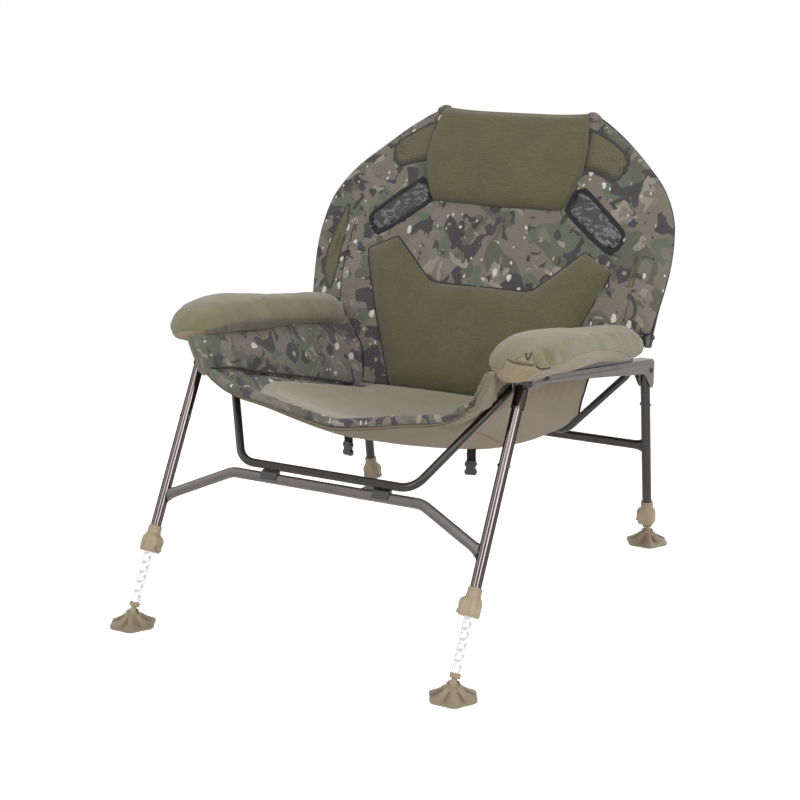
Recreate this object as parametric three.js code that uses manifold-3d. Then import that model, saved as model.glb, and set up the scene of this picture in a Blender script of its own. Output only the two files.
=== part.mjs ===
// A folding carp fishing chair: two leg frames on arm rails, a hung bucket seat and a padded back on a hoop.
// Millimetres, +Z up. The sitter faces -Y, so +X is the sitter's left. The origin is on the floor, midway
// between the foremost and rearmost points and on the plane of symmetry.
import * as THREE from 'three';
import { mergeVertices } from 'three/addons/utils/BufferGeometryUtils.js';
import Module from 'manifold-3d';

const wasm = await Module();
wasm.setup();

// Overall sizes
const legSpacing = 686;
const frontPivotY = -205;
const frontPivotZ = 499;
const rearPivotY = 401;
const rearPivotZ = 396;
const backPivotY = 289;
const backPivotDrop = 7;
const frontLeanDeg = 29;
const rearLeanDeg = 7.74;
const backLeanDeg = 26;

// Running and assembly gaps
const fitGap = 0.3;
const cutOverrun = 2;
const weldDistance = 1e-3;

// Legs: outer tube, sliding inner post, collar, lever, ball stem and mud foot
const legTubeDiameter = 20;
const legTubeWall = 1.2;
const legTopOver = 9;
const frontExtension = 99;
const innerLegWall = 1.4;
const innerLegLength = 256;
const notchPitch = 19;
const notchDepth = 0.9;
const notchLength = 6;
const notchCount = 7;
const notchFromEnd = 12;
const crossPinDiameter = 4;
const crossPinHeadDiameter = 7;
const crossPinHeadHeight = 3;
const frontPinDrop = 151;
const rearPinDrop = 79;

const collarLength = 51;
const collarSocketDepth = 34;
const collarNeckRadius = 12.6;
const collarNeckLength = 17;
const collarHalfWidth = 16.5;
const collarFootHalfWidth = 15;
const leverLength = 27;
const leverWidth = 14;
const leverThickness = 5;
const leverProud = 4.5;
const leverHingeRadius = 2.2;

const ballHeight = 26;
const ballRadius = 8;
const stemRadius = 5.4;
const flangeRadius = 10;
const flangeHeight = 8.5;
const flangeTopAboveBall = 19;
const footRadius = 46;
const footLobes = 6;
const footLobeDepth = 2.6;
const footRimHeight = 3.2;
const footShoulderHeight = 17;
const footShell = 3;
const hubRadius = 12.5;
const hubTopAboveBall = 3.2;
const mouthHalfDeg = 74;

// Leg frames
const sleeveWall = 1.6;
const sleeveLength = 55;
const crossbarHeight = 20;
const crossbarDepth = 11;
const frontCrossbarDrop = 312;
const frontCrossbarRise = 69;
const frontCrossbarBendInset = 139;
const rearCrossbarDrop = 174;
const seatTubeDiameter = 16;
const seatTubeBendRadius = 27;
const frontTubeBoltSetback = 73;
const frontTubeBoltDrop = 6.2;
const frontTubeBendSetback = 18;
const frontTubeBendRise = 3.5;
const frontTubeCornerInset = 159;
const frontTubeReach = 116;
const frontTubeDrop = 188;
const rearTubeEndReach = 44;
const rearTubeEndRise = 18;
const rearTubeBendReach = 41;
const rearTubeBendDrop = 5;
const rearTubeCornerInset = 168;
const rearTubeReach = 16;
const rearTubeDrop = 150;
const crossbarBendRadius = 45;
const saddleInset = 223;
const saddleLength = 34;
const saddleWidth = 16;
const saddleHeight = 30;

// Arm rails: channels open below, deeper at the back
const railWidth = 28;
const railWall = 2;
const railFrontOver = 17;
const railRearOver = 17;
const railFrontRise = 16;
const railRearRise = 21;
const railFrontHeight = 26;
const railSlimHeight = 15;
const railSlimSetback = 85;
const railDeepHeight = 29;
const railDeepReach = 71;
const railEarDrop = 62;
const railEarLength = 46;
const railEarTipLength = 14;
const railWebSetback = 33;
const boltRadius = 3;
const boltHeadRadius = 6;
const boltHeadHeight = 3;
const boltCrown = 0.7;

// Arm plates and pads
const plateWidth = 24;
const plateFrontSetback = 145;
const plateRearReach = 27;
const plateBowHeight = 12;
const plateEndRadius = 11;
const padOutset = 2;
const padHalfWidth = 75;
const padFrontReach = 70;
const padRearReach = 39;
const padHeight = 84.4;
const padSkirt = 4;
// The pad's top line: [share of its length, share of its height above the rail]
const padTopShares = [[0, 0.42], [0.03, 0.68], [0.08, 0.88], [0.17, 1], [0.8, 0.93], [0.93, 0.78], [1, 0.52]];
// The pad's half width, as a share of its widest, at shares of its length: its ends are round
const padWidthShares = [
  [0, 0.34], [0.02, 0.6], [0.05, 0.82], [0.1, 0.96], [0.16, 1],
  [0.84, 1], [0.9, 0.96], [0.95, 0.82], [0.98, 0.6], [1, 0.34],
];

// Bucket seat: a hung trough between two walls, and its pad
const shellThickness = 11;
const wallThickness = 7;
const wallTopInset = 31;
const creaseFrontInset = 13;
const creaseRearInset = 63;
const creaseFrontDrop = 27;
const creaseRearDrop = 163;
const troughFrontReach = 85;
const wallFrontReach = 84;
const troughDrop = 197;
const backGap = 10;
const tubeGap = 3;
const wallShare = 0.82;
const frontHollow = 2.3;
const rearHollow = 4;
const seatPadThickness = 26;
const seatPadEdge = 5;
const seatPadShare = 0.872;
const seatPadFrontShare = 0.05;
const seatPadRearShare = 0.95;

// The trough's middle line: [share of its depth, share of its drop below the front pivots]
const troughShares = [
  [0, 0.513], [0.129, 0.66], [0.278, 0.777], [0.427, 0.878],
  [0.575, 0.949], [0.724, 0.985], [0.873, 1], [1, 0.919],
];

// Closing straps
const strapWidth = 20;
const strapThickness = 2;
const strapLength = 26;
const strapInset = 203;
const strapSetback = 205;
const buckleLength = 30;
const buckleWidth = 25;
const buckleThickness = 9;

// Back: padded shell, hoop, lumbar pad and headrest. Heights are along the back, from its pivot.
const backOverhang = 69;
const backTop = 461;
const backBottom = -168;
const backSetback = -2;
const backThickness = 26;
const backEdgeThickness = 14;
const wingStartShare = 0.704;
const wingForward = 16;
const hoopDiameter = 16;
const hoopInset = 13;
const hoopFootOutset = 33;
const hoopFootDrop = 16;
const hoopBendRadius = 60;
const lumbarInset = 6;
const lumbarBottomShare = 0.403;
const lumbarMiddleShare = 0.585;
const lumbarTopShare = 0.697;
const lumbarVeeShare = 0.372;
const lumbarShoulderShare = 0.515;
const lumbarCornerShare = 0.475;
const lumbarThickness = 24;
const padEdgeThickness = 5;
const headrestHeight = 214;
const headrestOver = 2;
const headrestShare = 0.437;
const headrestThickness = 34;

const round = { fine: 20, medium: 16, low: 12, coarse: 10 };
const legX = legSpacing / 2;
const railOuter = legX + railWidth / 2;
const railInner = legX - railWidth / 2;
const backHalfWidth = legX + backOverhang;
const tongueShare = (legX - plateWidth / 2 - backGap / 2) / backHalfWidth;
const legRadius = legTubeDiameter / 2;
const innerLegRadius = legRadius - legTubeWall - fitGap;
const sleeveRadius = legRadius + fitGap + sleeveWall;
const frontLean = THREE.MathUtils.degToRad(frontLeanDeg);
const rearLean = THREE.MathUtils.degToRad(rearLeanDeg);
const backLean = THREE.MathUtils.degToRad(backLeanDeg);
const frontBallDrop = (frontPivotZ - ballHeight) / Math.cos(frontLean);
const rearBallDrop = (rearPivotZ - ballHeight) / Math.cos(rearLean);

// The back's half width, as a share of its widest, at shares of its height from the bottom
const backOutlineShares = [
  [0, 0.403], [0.011, 0.568], [0.108, 0.609], [0.168, 0.658], [0.216, 0.718], [0.28, tongueShare],
  [0.288, tongueShare], [0.291, 0.964], [0.393, 0.988], [0.493, 1], [0.593, 0.988], [0.676, 0.954],
  [0.774, 0.862], [0.887, 0.684],
  [0.955, 0.52], [1, 0.415],
];

// Materials
const finish = (color, roughness, metalness) => (
  new THREE.MeshStandardMaterial({ color, roughness, metalness })
);
const materials = {
  gunmetal: finish('#4a4341', 0.3, 0.8),
  darkFrame: finish('#45413f', 0.45, 0.6),
  railMetal: finish('#8f8580', 0.35, 0.7),
  bright: finish('#e6e4e0', 0.2, 0.95),
  tanPlastic: finish('#8a7a60', 0.6, 0),
  blackPlastic: finish('#242322', 0.5, 0),
  camoFabric: finish('#6d6550', 0.9, 0),
  oliveFabric: finish('#64634a', 0.9, 0),
  suede: finish('#8f8a76', 0.95, 0),
  tanFabric: finish('#9c927a', 0.95, 0),
  webbing: finish('#1f1f1e', 0.9, 0),
};

const chair = new THREE.Group();

function place(parent, name, geometry, material, position = [0, 0, 0], rotation = [0, 0, 0]) {
  const mesh = new THREE.Mesh(tidy(geometry), material);
  mesh.name = name;
  mesh.position.set(...position);
  mesh.rotation.set(...rotation);
  parent.add(mesh);
  return mesh;
}

// One indexed body: shared corners merged, empty triangles dropped, faces turned outwards
function tidy(geometry) {
  const plain = geometry.clone();
  for (const name of Object.keys(plain.attributes)) {
    if (name !== 'position') plain.deleteAttribute(name);
  }
  const merged = mergeVertices(plain, weldDistance);
  const corners = [];
  const index = merged.index.array;
  for (let i = 0; i < index.length; i += 3) {
    const [a, b, c] = [index[i], index[i + 1], index[i + 2]];
    if (a !== b && b !== c && c !== a) corners.push(a, b, c);
  }
  if (volumeOf(merged.attributes.position, corners) < 0) corners.reverse();
  const clean = new THREE.BufferGeometry();
  clean.setAttribute('position', merged.attributes.position);
  clean.setIndex(corners);
  clean.computeVertexNormals();
  return clean;
}

function volumeOf(position, corners) {
  const [a, b, c] = [new THREE.Vector3(), new THREE.Vector3(), new THREE.Vector3()];
  let sixVolumes = 0;
  for (let i = 0; i < corners.length; i += 3) {
    a.fromBufferAttribute(position, corners[i]);
    b.fromBufferAttribute(position, corners[i + 1]);
    c.fromBufferAttribute(position, corners[i + 2]);
    sixVolumes += a.dot(b.cross(c));
  }
  return sixVolumes;
}

function toSolid(geometry) {
  const clean = tidy(geometry);
  return new wasm.Manifold(new wasm.Mesh({
    numProp: 3,
    vertProperties: Float32Array.from(clean.attributes.position.array),
    triVerts: Uint32Array.from(clean.index.array),
  }));
}

function toGeometry(solid) {
  const mesh = solid.getMesh();
  const geometry = new THREE.BufferGeometry();
  geometry.setAttribute('position', new THREE.BufferAttribute(mesh.vertProperties, 3));
  geometry.setIndex(new THREE.BufferAttribute(mesh.triVerts, 1));
  return geometry;
}

function joined(...geometries) {
  return toGeometry(geometries.map(toSolid).reduce((whole, piece) => whole.add(piece)));
}

function cut(geometry, ...tools) {
  return toGeometry(tools.map(toSolid).reduce((whole, tool) => whole.subtract(tool), toSolid(geometry)));
}

// A turned piece about Z, from [radius, height] points
function turned(profile, segments) {
  const points = profile.map(([radius, height]) => new THREE.Vector2(radius, height));
  return new THREE.LatheGeometry(points, segments).rotateX(Math.PI / 2);
}

function pipe(outer, inner, low, high, segments) {
  return turned([[inner, low], [outer, low], [outer, high], [inner, high], [inner, low]], segments);
}

// A round bar along X, Y or Z, centred on a point
function bar(axis, radius, length, centre, segments = round.coarse) {
  const geometry = new THREE.CylinderGeometry(radius, radius, length, segments);
  if (axis === 'x') geometry.rotateZ(Math.PI / 2);
  if (axis === 'z') geometry.rotateX(Math.PI / 2);
  return geometry.translate(...centre);
}

function block(size, centre) {
  return new THREE.BoxGeometry(...size).translate(...centre);
}

// An outline in Y and Z with a width along X, centred on a place in X
function sidePlate(outline, width, x) {
  const shape = new THREE.Shape(outline.map(([y, z]) => new THREE.Vector2(y, z)));
  const geometry = new THREE.ExtrudeGeometry(shape, { depth: width, bevelEnabled: false });
  // the shape's plane becomes the YZ plane
  geometry.applyMatrix4(new THREE.Matrix4().makeBasis(
    new THREE.Vector3(0, 1, 0), new THREE.Vector3(0, 0, 1), new THREE.Vector3(1, 0, 0),
  ));
  return geometry.translate(x - width / 2, 0, 0);
}

// A path through straight stretches and round bends, with a section only at each end of a stretch and
// round each bend
class BentPath extends THREE.Curve {
  constructor(points, bendRadius, bendSteps) {
    super();
    const corners = points.map((point) => new THREE.Vector3(...point));
    const last = corners.length - 1;
    const ahead = (i) => corners[i + 1].clone().sub(corners[i]).normalize();
    this.stations = [corners[0]];
    this.directions = [ahead(0)];
    for (let i = 1; i < last; i += 1) this.bend(corners[i], ahead(i - 1), ahead(i), bendRadius, bendSteps);
    this.stations.push(corners[last]);
    this.directions.push(ahead(last - 1));
  }

  bend(corner, before, after, radius, steps) {
    const turn = before.angleTo(after);
    const setback = radius * Math.tan(turn / 2);
    const start = corner.clone().addScaledVector(before, -setback);
    const inward = after.clone().addScaledVector(before, -after.dot(before)).normalize();
    const centre = start.clone().addScaledVector(inward, radius);
    for (let step = 0; step <= steps; step += 1) {
      const angle = (turn * step) / steps;
      this.stations.push(centre.clone()
        .addScaledVector(inward, -radius * Math.cos(angle))
        .addScaledVector(before, radius * Math.sin(angle)));
      this.directions.push(before.clone().multiplyScalar(Math.cos(angle))
        .addScaledVector(inward, Math.sin(angle)));
    }
  }

  get steps() {
    return this.stations.length - 1;
  }

  at(list, t) {
    const place = Math.min(Math.max(t, 0), 1) * this.steps;
    const low = Math.min(Math.floor(place), this.steps - 1);
    return list[low].clone().lerp(list[low + 1], place - low);
  }

  getPoint(t) {
    return this.at(this.stations, t);
  }

  getTangent(t) {
    return this.at(this.directions, t).normalize();
  }

  getUtoTmapping(u) {
    return u;
  }
}

function circle(radius, sides) {
  return new THREE.Shape(Array.from({ length: sides }, (_, i) => {
    const angle = (2 * Math.PI * i) / sides;
    return new THREE.Vector2(radius * Math.cos(angle), radius * Math.sin(angle));
  }));
}

// A flat oval: half circles joined by straight sides
function flatOval(width, height, arcSteps) {
  const radius = width / 2;
  const shoulder = height / 2 - radius;
  const points = [];
  for (const end of [1, -1]) {
    for (let i = 0; i <= arcSteps; i += 1) {
      const angle = (Math.PI * i) / arcSteps;
      const rise = shoulder + radius * Math.sin(angle);
      points.push(new THREE.Vector2(end * radius * Math.cos(angle), end * rise));
    }
  }
  return new THREE.Shape(points);
}

function along(path, section) {
  return new THREE.ExtrudeGeometry(section, { steps: path.steps, extrudePath: path, bevelEnabled: false });
}

// A closed sheet between two surfaces of (u, v), each a share across and a share along, with its four edges
function sheet(across, alongSteps, near, far) {
  const us = Array.isArray(across) ? across : evenShares(across);
  const vs = Array.isArray(alongSteps) ? alongSteps : evenShares(alongSteps);
  const positions = [];
  const faces = [];
  for (const surface of [near, far]) {
    for (const v of vs) {
      for (const u of us) positions.push(...surface(u, v));
    }
  }
  const across1 = us.length;
  const layer = us.length * vs.length;
  const quad = (a, b, c, d) => faces.push(a, b, c, a, c, d);
  for (let j = 0; j + 1 < vs.length; j += 1) {
    for (let i = 0; i + 1 < us.length; i += 1) {
      const a = j * across1 + i;
      quad(a, a + 1, a + across1 + 1, a + across1);
      quad(layer + a, layer + a + across1, layer + a + across1 + 1, layer + a + 1);
    }
    const left = j * across1;
    const right = left + across1 - 1;
    quad(left, left + across1, layer + left + across1, layer + left);
    quad(right, layer + right, layer + right + across1, right + across1);
  }
  for (let i = 0; i + 1 < us.length; i += 1) {
    const low = i;
    const high = (vs.length - 1) * across1 + i;
    quad(low, layer + low, layer + low + 1, low + 1);
    quad(high, high + 1, layer + high + 1, layer + high);
  }
  const geometry = new THREE.BufferGeometry();
  geometry.setAttribute('position', new THREE.Float32BufferAttribute(positions, 3));
  geometry.setIndex(faces);
  return geometry;
}

function evenShares(count) {
  return Array.from({ length: count + 1 }, (_, i) => i / count);
}

// A value read off a table of [share, value] rows, straight between rows
function readTable(rows, share) {
  let i = 1;
  while (i < rows.length - 1 && share > rows[i][0]) i += 1;
  const [from, to] = [rows[i - 1], rows[i]];
  return THREE.MathUtils.mapLinear(share, from[0], to[0], from[1], to[1]);
}

const mix = THREE.MathUtils.lerp;
// 1 in the middle of a piece, falling in a round curve to 0 at its edges
const crown = (share) => Math.sqrt(Math.max(0, 1 - (2 * share - 1) ** 4));
const sides = [['left', 1], ['right', -1]];

// Where the leg's pieces lie, as drops below the pivot along the leg
function legPlan(ballDrop, extension) {
  const flangeTop = ballDrop - flangeTopAboveBall;
  const collarBottom = flangeTop - extension - fitGap;
  const collarTop = collarBottom - collarLength;
  return { ballDrop, flangeTop, collarBottom, collarTop, tubeEnd: collarTop + collarSocketDepth };
}

function outerLeg(plan, pinDrop) {
  const tube = pipe(legRadius, legRadius - legTubeWall, -plan.tubeEnd, legTopOver, round.medium);
  const holes = [
    bar('x', boltRadius + fitGap, legTubeDiameter + cutOverrun, [0, 0, 0]),
    bar('x', crossPinDiameter / 2 + fitGap, legTubeDiameter + cutOverrun, [0, 0, -pinDrop]),
  ];
  return cut(tube, ...holes);
}

// A rivet along X with a low domed head at each end
function crossPin(span) {
  const half = span / 2 + fitGap;
  const shank = crossPinDiameter / 2;
  const head = crossPinHeadDiameter / 2;
  const dome = half + crossPinHeadHeight;
  const rim = half + crossPinHeadHeight / 3;
  return turned([
    [0, -dome], [head / 2, -dome + crossPinHeadHeight / 6], [head, -rim], [head, -half], [shank, -half],
    [shank, half], [head, half], [head, rim], [head / 2, dome - crossPinHeadHeight / 6], [0, dome],
  ], round.coarse).rotateY(Math.PI / 2);
}

// The sliding post, with shallow ring notches that the lever's tooth drops into
function innerLeg() {
  const inner = innerLegRadius - innerLegWall;
  const profile = [[inner, 0], [innerLegRadius, 0]];
  for (let i = 0; i < notchCount; i += 1) {
    const low = notchFromEnd + i * notchPitch;
    profile.push([innerLegRadius, low], [innerLegRadius - notchDepth, low + notchLength / 2],
      [innerLegRadius, low + notchLength]);
  }
  profile.push([innerLegRadius, innerLegLength], [inner, innerLegLength], [inner, 0]);
  return turned(profile, round.coarse);
}

// A body of rounded-square rings about Z: each ring is [height, half width, squareness]
function squaredLoft(rings, segments) {
  const ringPoint = ([height, half, squareness], share) => {
    const angle = 2 * Math.PI * share;
    const [c, s] = [Math.cos(angle), Math.sin(angle)];
    const reach = half / (Math.abs(c) ** squareness + Math.abs(s) ** squareness) ** (1 / squareness);
    return [reach * c, reach * s, height];
  };
  const positions = [];
  const faces = [];
  rings.forEach((ring) => {
    for (let i = 0; i < segments; i += 1) positions.push(...ringPoint(ring, i / segments));
  });
  const bottom = rings.length * segments;
  positions.push(0, 0, rings[0][0], 0, 0, rings[rings.length - 1][0]);
  for (let i = 0; i < segments; i += 1) {
    const next = (i + 1) % segments;
    for (let r = 0; r + 1 < rings.length; r += 1) {
      const [a, b] = [r * segments + i, r * segments + next];
      faces.push(a, b, b + segments, a, b + segments, a + segments);
    }
    const top = (rings.length - 1) * segments;
    faces.push(bottom, next, i, bottom + 1, top + i, top + next);
  }
  const geometry = new THREE.BufferGeometry();
  geometry.setAttribute('position', new THREE.Float32BufferAttribute(positions, 3));
  geometry.setIndex(faces);
  return geometry;
}

// The lever's hinge, below the collar's top and inboard of the leg's axis
const leverHingeDrop = collarNeckLength + leverHingeRadius;
const leverHingeReach = collarHalfWidth + leverProud - leverThickness / 2;

// A plastic collar: tapered neck, squared body, stepped bore and a pocket for the lever on its inner side
function collar(inward) {
  const round1 = 2;
  const squared = 5;
  const body = squaredLoft([
    [-collarLength, collarFootHalfWidth, squared],
    [-collarLength + collarNeckLength / 3, collarHalfWidth, squared],
    [-collarNeckLength - collarNeckLength / 3, collarHalfWidth, squared],
    [-collarNeckLength, collarNeckRadius + fitGap, round1],
    [0, collarNeckRadius - fitGap, round1],
  ], round.medium);
  const socket = bar('z', legRadius + fitGap, collarSocketDepth + cutOverrun,
    [0, 0, -(collarSocketDepth + fitGap - cutOverrun) / 2], round.medium);
  const guide = bar('z', innerLegRadius + fitGap, 2 * collarLength, [0, 0, -collarLength], round.medium);
  const pocketReach = leverThickness + fitGap;
  const pocket = block(
    [2 * pocketReach, leverWidth + 2 * fitGap, leverLength + 3 * fitGap],
    [inward * (leverHingeReach + leverThickness / 2), 0,
      -leverHingeDrop - leverLength / 2 + leverHingeRadius],
  );
  return cut(body, socket, guide, pocket);
}

// The flap that frees the inner leg: round at its hinge, thicker and curled out at its thumb end
function lever(inward) {
  const steps = 5;
  const outline = [];
  for (let i = 0; i <= steps; i += 1) {
    const angle = (Math.PI * i) / steps;
    outline.push([leverHingeRadius * Math.cos(angle), leverHingeRadius * Math.sin(angle)]);
  }
  const inner = -leverHingeRadius;
  const outer = leverHingeRadius;
  const end = -leverLength + leverHingeRadius + fitGap;
  const lip = leverThickness - leverHingeRadius;
  outline.push([inner, end], [outer, end], [lip, end + leverThickness], [outer, end / 2]);
  const shape = new THREE.Shape(outline.map(([x, z]) => new THREE.Vector2(inward * x, z)));
  const flap = new THREE.ExtrudeGeometry(shape, { depth: leverWidth, bevelEnabled: false });
  return flap.rotateX(Math.PI / 2).translate(0, leverWidth / 2, 0);
}

function ballStem() {
  const flangeBottom = flangeTopAboveBall - flangeHeight;
  const neck = Math.sqrt(ballRadius ** 2 - stemRadius ** 2);
  const profile = [[0, -ballRadius]];
  const steps = 6;
  const stop = Math.asin(neck / ballRadius);
  for (let i = 1; i <= steps; i += 1) {
    const angle = -Math.PI / 2 + ((stop + Math.PI / 2) * i) / steps;
    profile.push([ballRadius * Math.cos(angle), ballRadius * Math.sin(angle)]);
  }
  profile.push([stemRadius, flangeBottom], [flangeRadius - fitGap, flangeBottom]);
  profile.push([flangeRadius, flangeBottom + fitGap], [flangeRadius, flangeTopAboveBall - fitGap]);
  profile.push([flangeRadius - fitGap, flangeTopAboveBall], [0, flangeTopAboveBall]);
  return turned(profile, round.low);
}

// A wide dished foot with a lobed rim and a hub that holds the ball, its origin at the ball
function mudFoot() {
  const floor = -ballHeight;
  const waveAt = (share) => (1 - Math.cos(2 * Math.PI * footLobes * share)) / 2;
  const rimAt = (share) => footRadius - footLobeDepth * waveAt(share);
  const dome = (inset, low, high) => {
    const levels = [[1, 0], [1, footRimHeight], [0.72, 0.62 * footShoulderHeight], [0.4, footShoulderHeight]];
    const positions = [];
    const faces = [];
    const segments = 3 * footLobes;
    levels.forEach(([share, height]) => {
      for (let i = 0; i < segments; i += 1) {
        const angle = (2 * Math.PI * i) / segments;
        const reach = (rimAt(i / segments) - inset) * share;
        const level = height === 0 ? low : floor + height + high;
        positions.push(reach * Math.cos(angle), reach * Math.sin(angle), level);
      }
    });
    const centre = levels.length * segments;
    positions.push(0, 0, low, 0, 0, floor + footShoulderHeight + high);
    for (let i = 0; i < segments; i += 1) {
      const next = (i + 1) % segments;
      for (let r = 0; r + 1 < levels.length; r += 1) {
        const [a, b] = [r * segments + i, r * segments + next];
        faces.push(a, b, b + segments, a, b + segments, a + segments);
      }
      const top = (levels.length - 1) * segments;
      faces.push(centre, next, i, centre + 1, top + i, top + next);
    }
    const geometry = new THREE.BufferGeometry();
    geometry.setAttribute('position', new THREE.Float32BufferAttribute(positions, 3));
    geometry.setIndex(faces);
    return geometry;
  };
  const outside = dome(0, floor, 0);
  const hollow = dome(footShell, floor - cutOverrun, -footShell);
  const hubHeight = ballHeight + hubTopAboveBall;
  const hub = bar('z', hubRadius, hubHeight, [0, 0, floor + hubHeight / 2], round.medium);
  const shell = cut(outside, hollow);
  const socket = new THREE.SphereGeometry(ballRadius + 2 * fitGap, round.medium, round.medium / 2)
    .rotateX(Math.PI / 2);
  // the mouth lets the stem tilt by as much as the front legs lean
  const mouthTop = hubTopAboveBall + cutOverrun;
  const mouthReach = mouthTop * Math.tan(THREE.MathUtils.degToRad(mouthHalfDeg));
  const mouth = turned([[0, 0], [mouthReach, mouthTop], [0, mouthTop]], round.medium);
  return cut(joined(shell, hub), socket, mouth);
}

// A bolt along X: a low round head at each end of its shank
function pivotBolt(fromX, toX, side) {
  const low = Math.min(fromX, toX) - fitGap;
  const high = Math.max(fromX, toX) + fitGap;
  const crest = boltHeadRadius * boltCrown;
  const geometry = turned([
    [0, low - boltHeadHeight], [crest, low - boltHeadHeight], [boltHeadRadius, low], [boltRadius, low],
    [boltRadius, high], [boltHeadRadius, high], [crest, high + boltHeadHeight], [0, high + boltHeadHeight],
  ], round.coarse).rotateY(Math.PI / 2);
  return side < 0 ? geometry.scale(-1, 1, 1) : geometry;
}

const tubeX = railInner - fitGap - seatTubeDiameter / 2;
const railFrontY = frontPivotY - railFrontOver;
const railRearY = rearPivotY + railRearOver;
const railTopAt = (y) => THREE.MathUtils.mapLinear(
  y, railFrontY, railRearY, frontPivotZ + railFrontRise, rearPivotZ + railRearRise,
);
const backPivotZ = frontPivotZ - backPivotDrop;
const hoopFootX = railOuter + hoopFootOutset;
const frontTubeBoltY = frontPivotY + frontTubeBoltSetback;
const frontTubeBolt = [frontTubeBoltY, railTopAt(frontTubeBoltY) - frontTubeBoltDrop];

// The rail's side: slim in the middle, deeper round the front pivot and to the rear, with an ear at the back
function railOutline() {
  const low = (y, height) => [y, railTopAt(y) - height];
  return [
    [railFrontY, railTopAt(railFrontY)], low(railFrontY, railFrontHeight),
    low(frontPivotY + legTopOver, railFrontHeight),
    low(frontPivotY + railSlimSetback, railSlimHeight), low(rearPivotY - railDeepReach, railDeepHeight),
    low(railRearY - railEarLength, railDeepHeight),
    low(railRearY - railEarTipLength, railEarDrop), low(railRearY, railEarDrop),
    [railRearY, railTopAt(railRearY)],
  ];
}

function armRail(side) {
  const outline = railOutline();
  const flanges = [railInner + railWall / 2, railOuter - railWall / 2]
    .map((x) => sidePlate(outline, railWall, side * x));
  const webFrontY = frontPivotY + railWebSetback;
  const web = sidePlate([
    [webFrontY, railTopAt(webFrontY)], [webFrontY, railTopAt(webFrontY) - railWall],
    [railRearY, railTopAt(railRearY) - railWall], [railRearY, railTopAt(railRearY)],
  ], railWidth, side * legX);
  const hole = (y, z) => bar('x', boltRadius + fitGap, railWidth + cutOverrun, [side * legX, y, z]);
  return cut(joined(...flanges, web), hole(frontPivotY, frontPivotZ), hole(rearPivotY, rearPivotZ),
    hole(...frontTubeBolt));
}

// The crossbar's end is shaped to the round leg, a hair short of it
function crossbar(path) {
  const legAt = (side) => [side * legX, 0, -frontCrossbarDrop];
  const legs = sides.map(([, side]) => bar('z', legRadius + fitGap, legSpacing, legAt(side), round.fine));
  return cut(along(path, flatOval(crossbarDepth, crossbarHeight, 4)), ...legs);
}

// A U-shaped tube across the chair, given one side's points from its end to its bottom corner
function seatTubePath(sidePoints) {
  const left = sidePoints.map(([x, y, z]) => [-x, y, z]);
  return new BentPath([...left, ...sidePoints.slice().reverse()], seatTubeBendRadius, 4);
}

const frontTubePath = seatTubePath([
  [tubeX, frontTubeBolt[0] + seatTubeDiameter / 2, frontTubeBolt[1]],
  [tubeX, frontTubeBolt[0] - frontTubeBendSetback, frontTubeBolt[1] + frontTubeBendRise],
  [legX - frontTubeCornerInset, frontPivotY - frontTubeReach, frontPivotZ - frontTubeDrop],
]);
const rearTubePath = seatTubePath([
  [tubeX, rearPivotY - rearTubeEndReach, rearPivotZ + rearTubeEndRise],
  [tubeX, rearPivotY - rearTubeBendReach, rearPivotZ - rearTubeBendDrop],
  [legX - rearTubeCornerInset, rearPivotY - rearTubeReach, rearPivotZ - rearTubeDrop],
]);

const frontTube = (gap) => along(frontTubePath, circle(seatTubeDiameter / 2 + gap, round.low));

// The saddles lie between the front seat tube and the front crossbar, on the side that the bar leaves free
function saddle(side) {
  const lean = new THREE.Matrix4().makeRotationX(-frontLean).setPosition(0, frontPivotY, frontPivotZ);
  const middle = frontCrossbarRise - frontCrossbarDrop + crossbarHeight / 2;
  const centre = [side * (legX - saddleInset), -saddleWidth / 2, middle];
  const body = block([saddleLength, saddleWidth, saddleHeight], centre);
  const section = flatOval(crossbarDepth + 2 * fitGap, crossbarHeight + 2 * fitGap, 4);
  return cut(cut(body, along(frontCrossbarPath(), section)).applyMatrix4(lean), frontTube(fitGap));
}

function seatTubes() {
  const hole = (side) => bar('x', boltRadius + fitGap, seatTubeDiameter + cutOverrun,
    [side * tubeX, ...frontTubeBolt]);
  place(chair, 'front_seat_tube', cut(frontTube(0), hole(1), hole(-1)), materials.darkFrame);
  const rearTube = along(rearTubePath, circle(seatTubeDiameter / 2, round.low));
  place(chair, 'rear_seat_tube', rearTube, materials.darkFrame);
  for (const [word, side] of sides) place(chair, `tube_saddle_${word}`, saddle(side), materials.blackPlastic);
}

function frontCrossbarPath() {
  const bendDrop = frontCrossbarDrop - frontCrossbarRise;
  const bendX = legX - frontCrossbarBendInset;
  return new BentPath([[-legX, 0, -frontCrossbarDrop], [-bendX, 0, -bendDrop],
    [bendX, 0, -bendDrop], [legX, 0, -frontCrossbarDrop]], crossbarBendRadius, 5);
}

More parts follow.
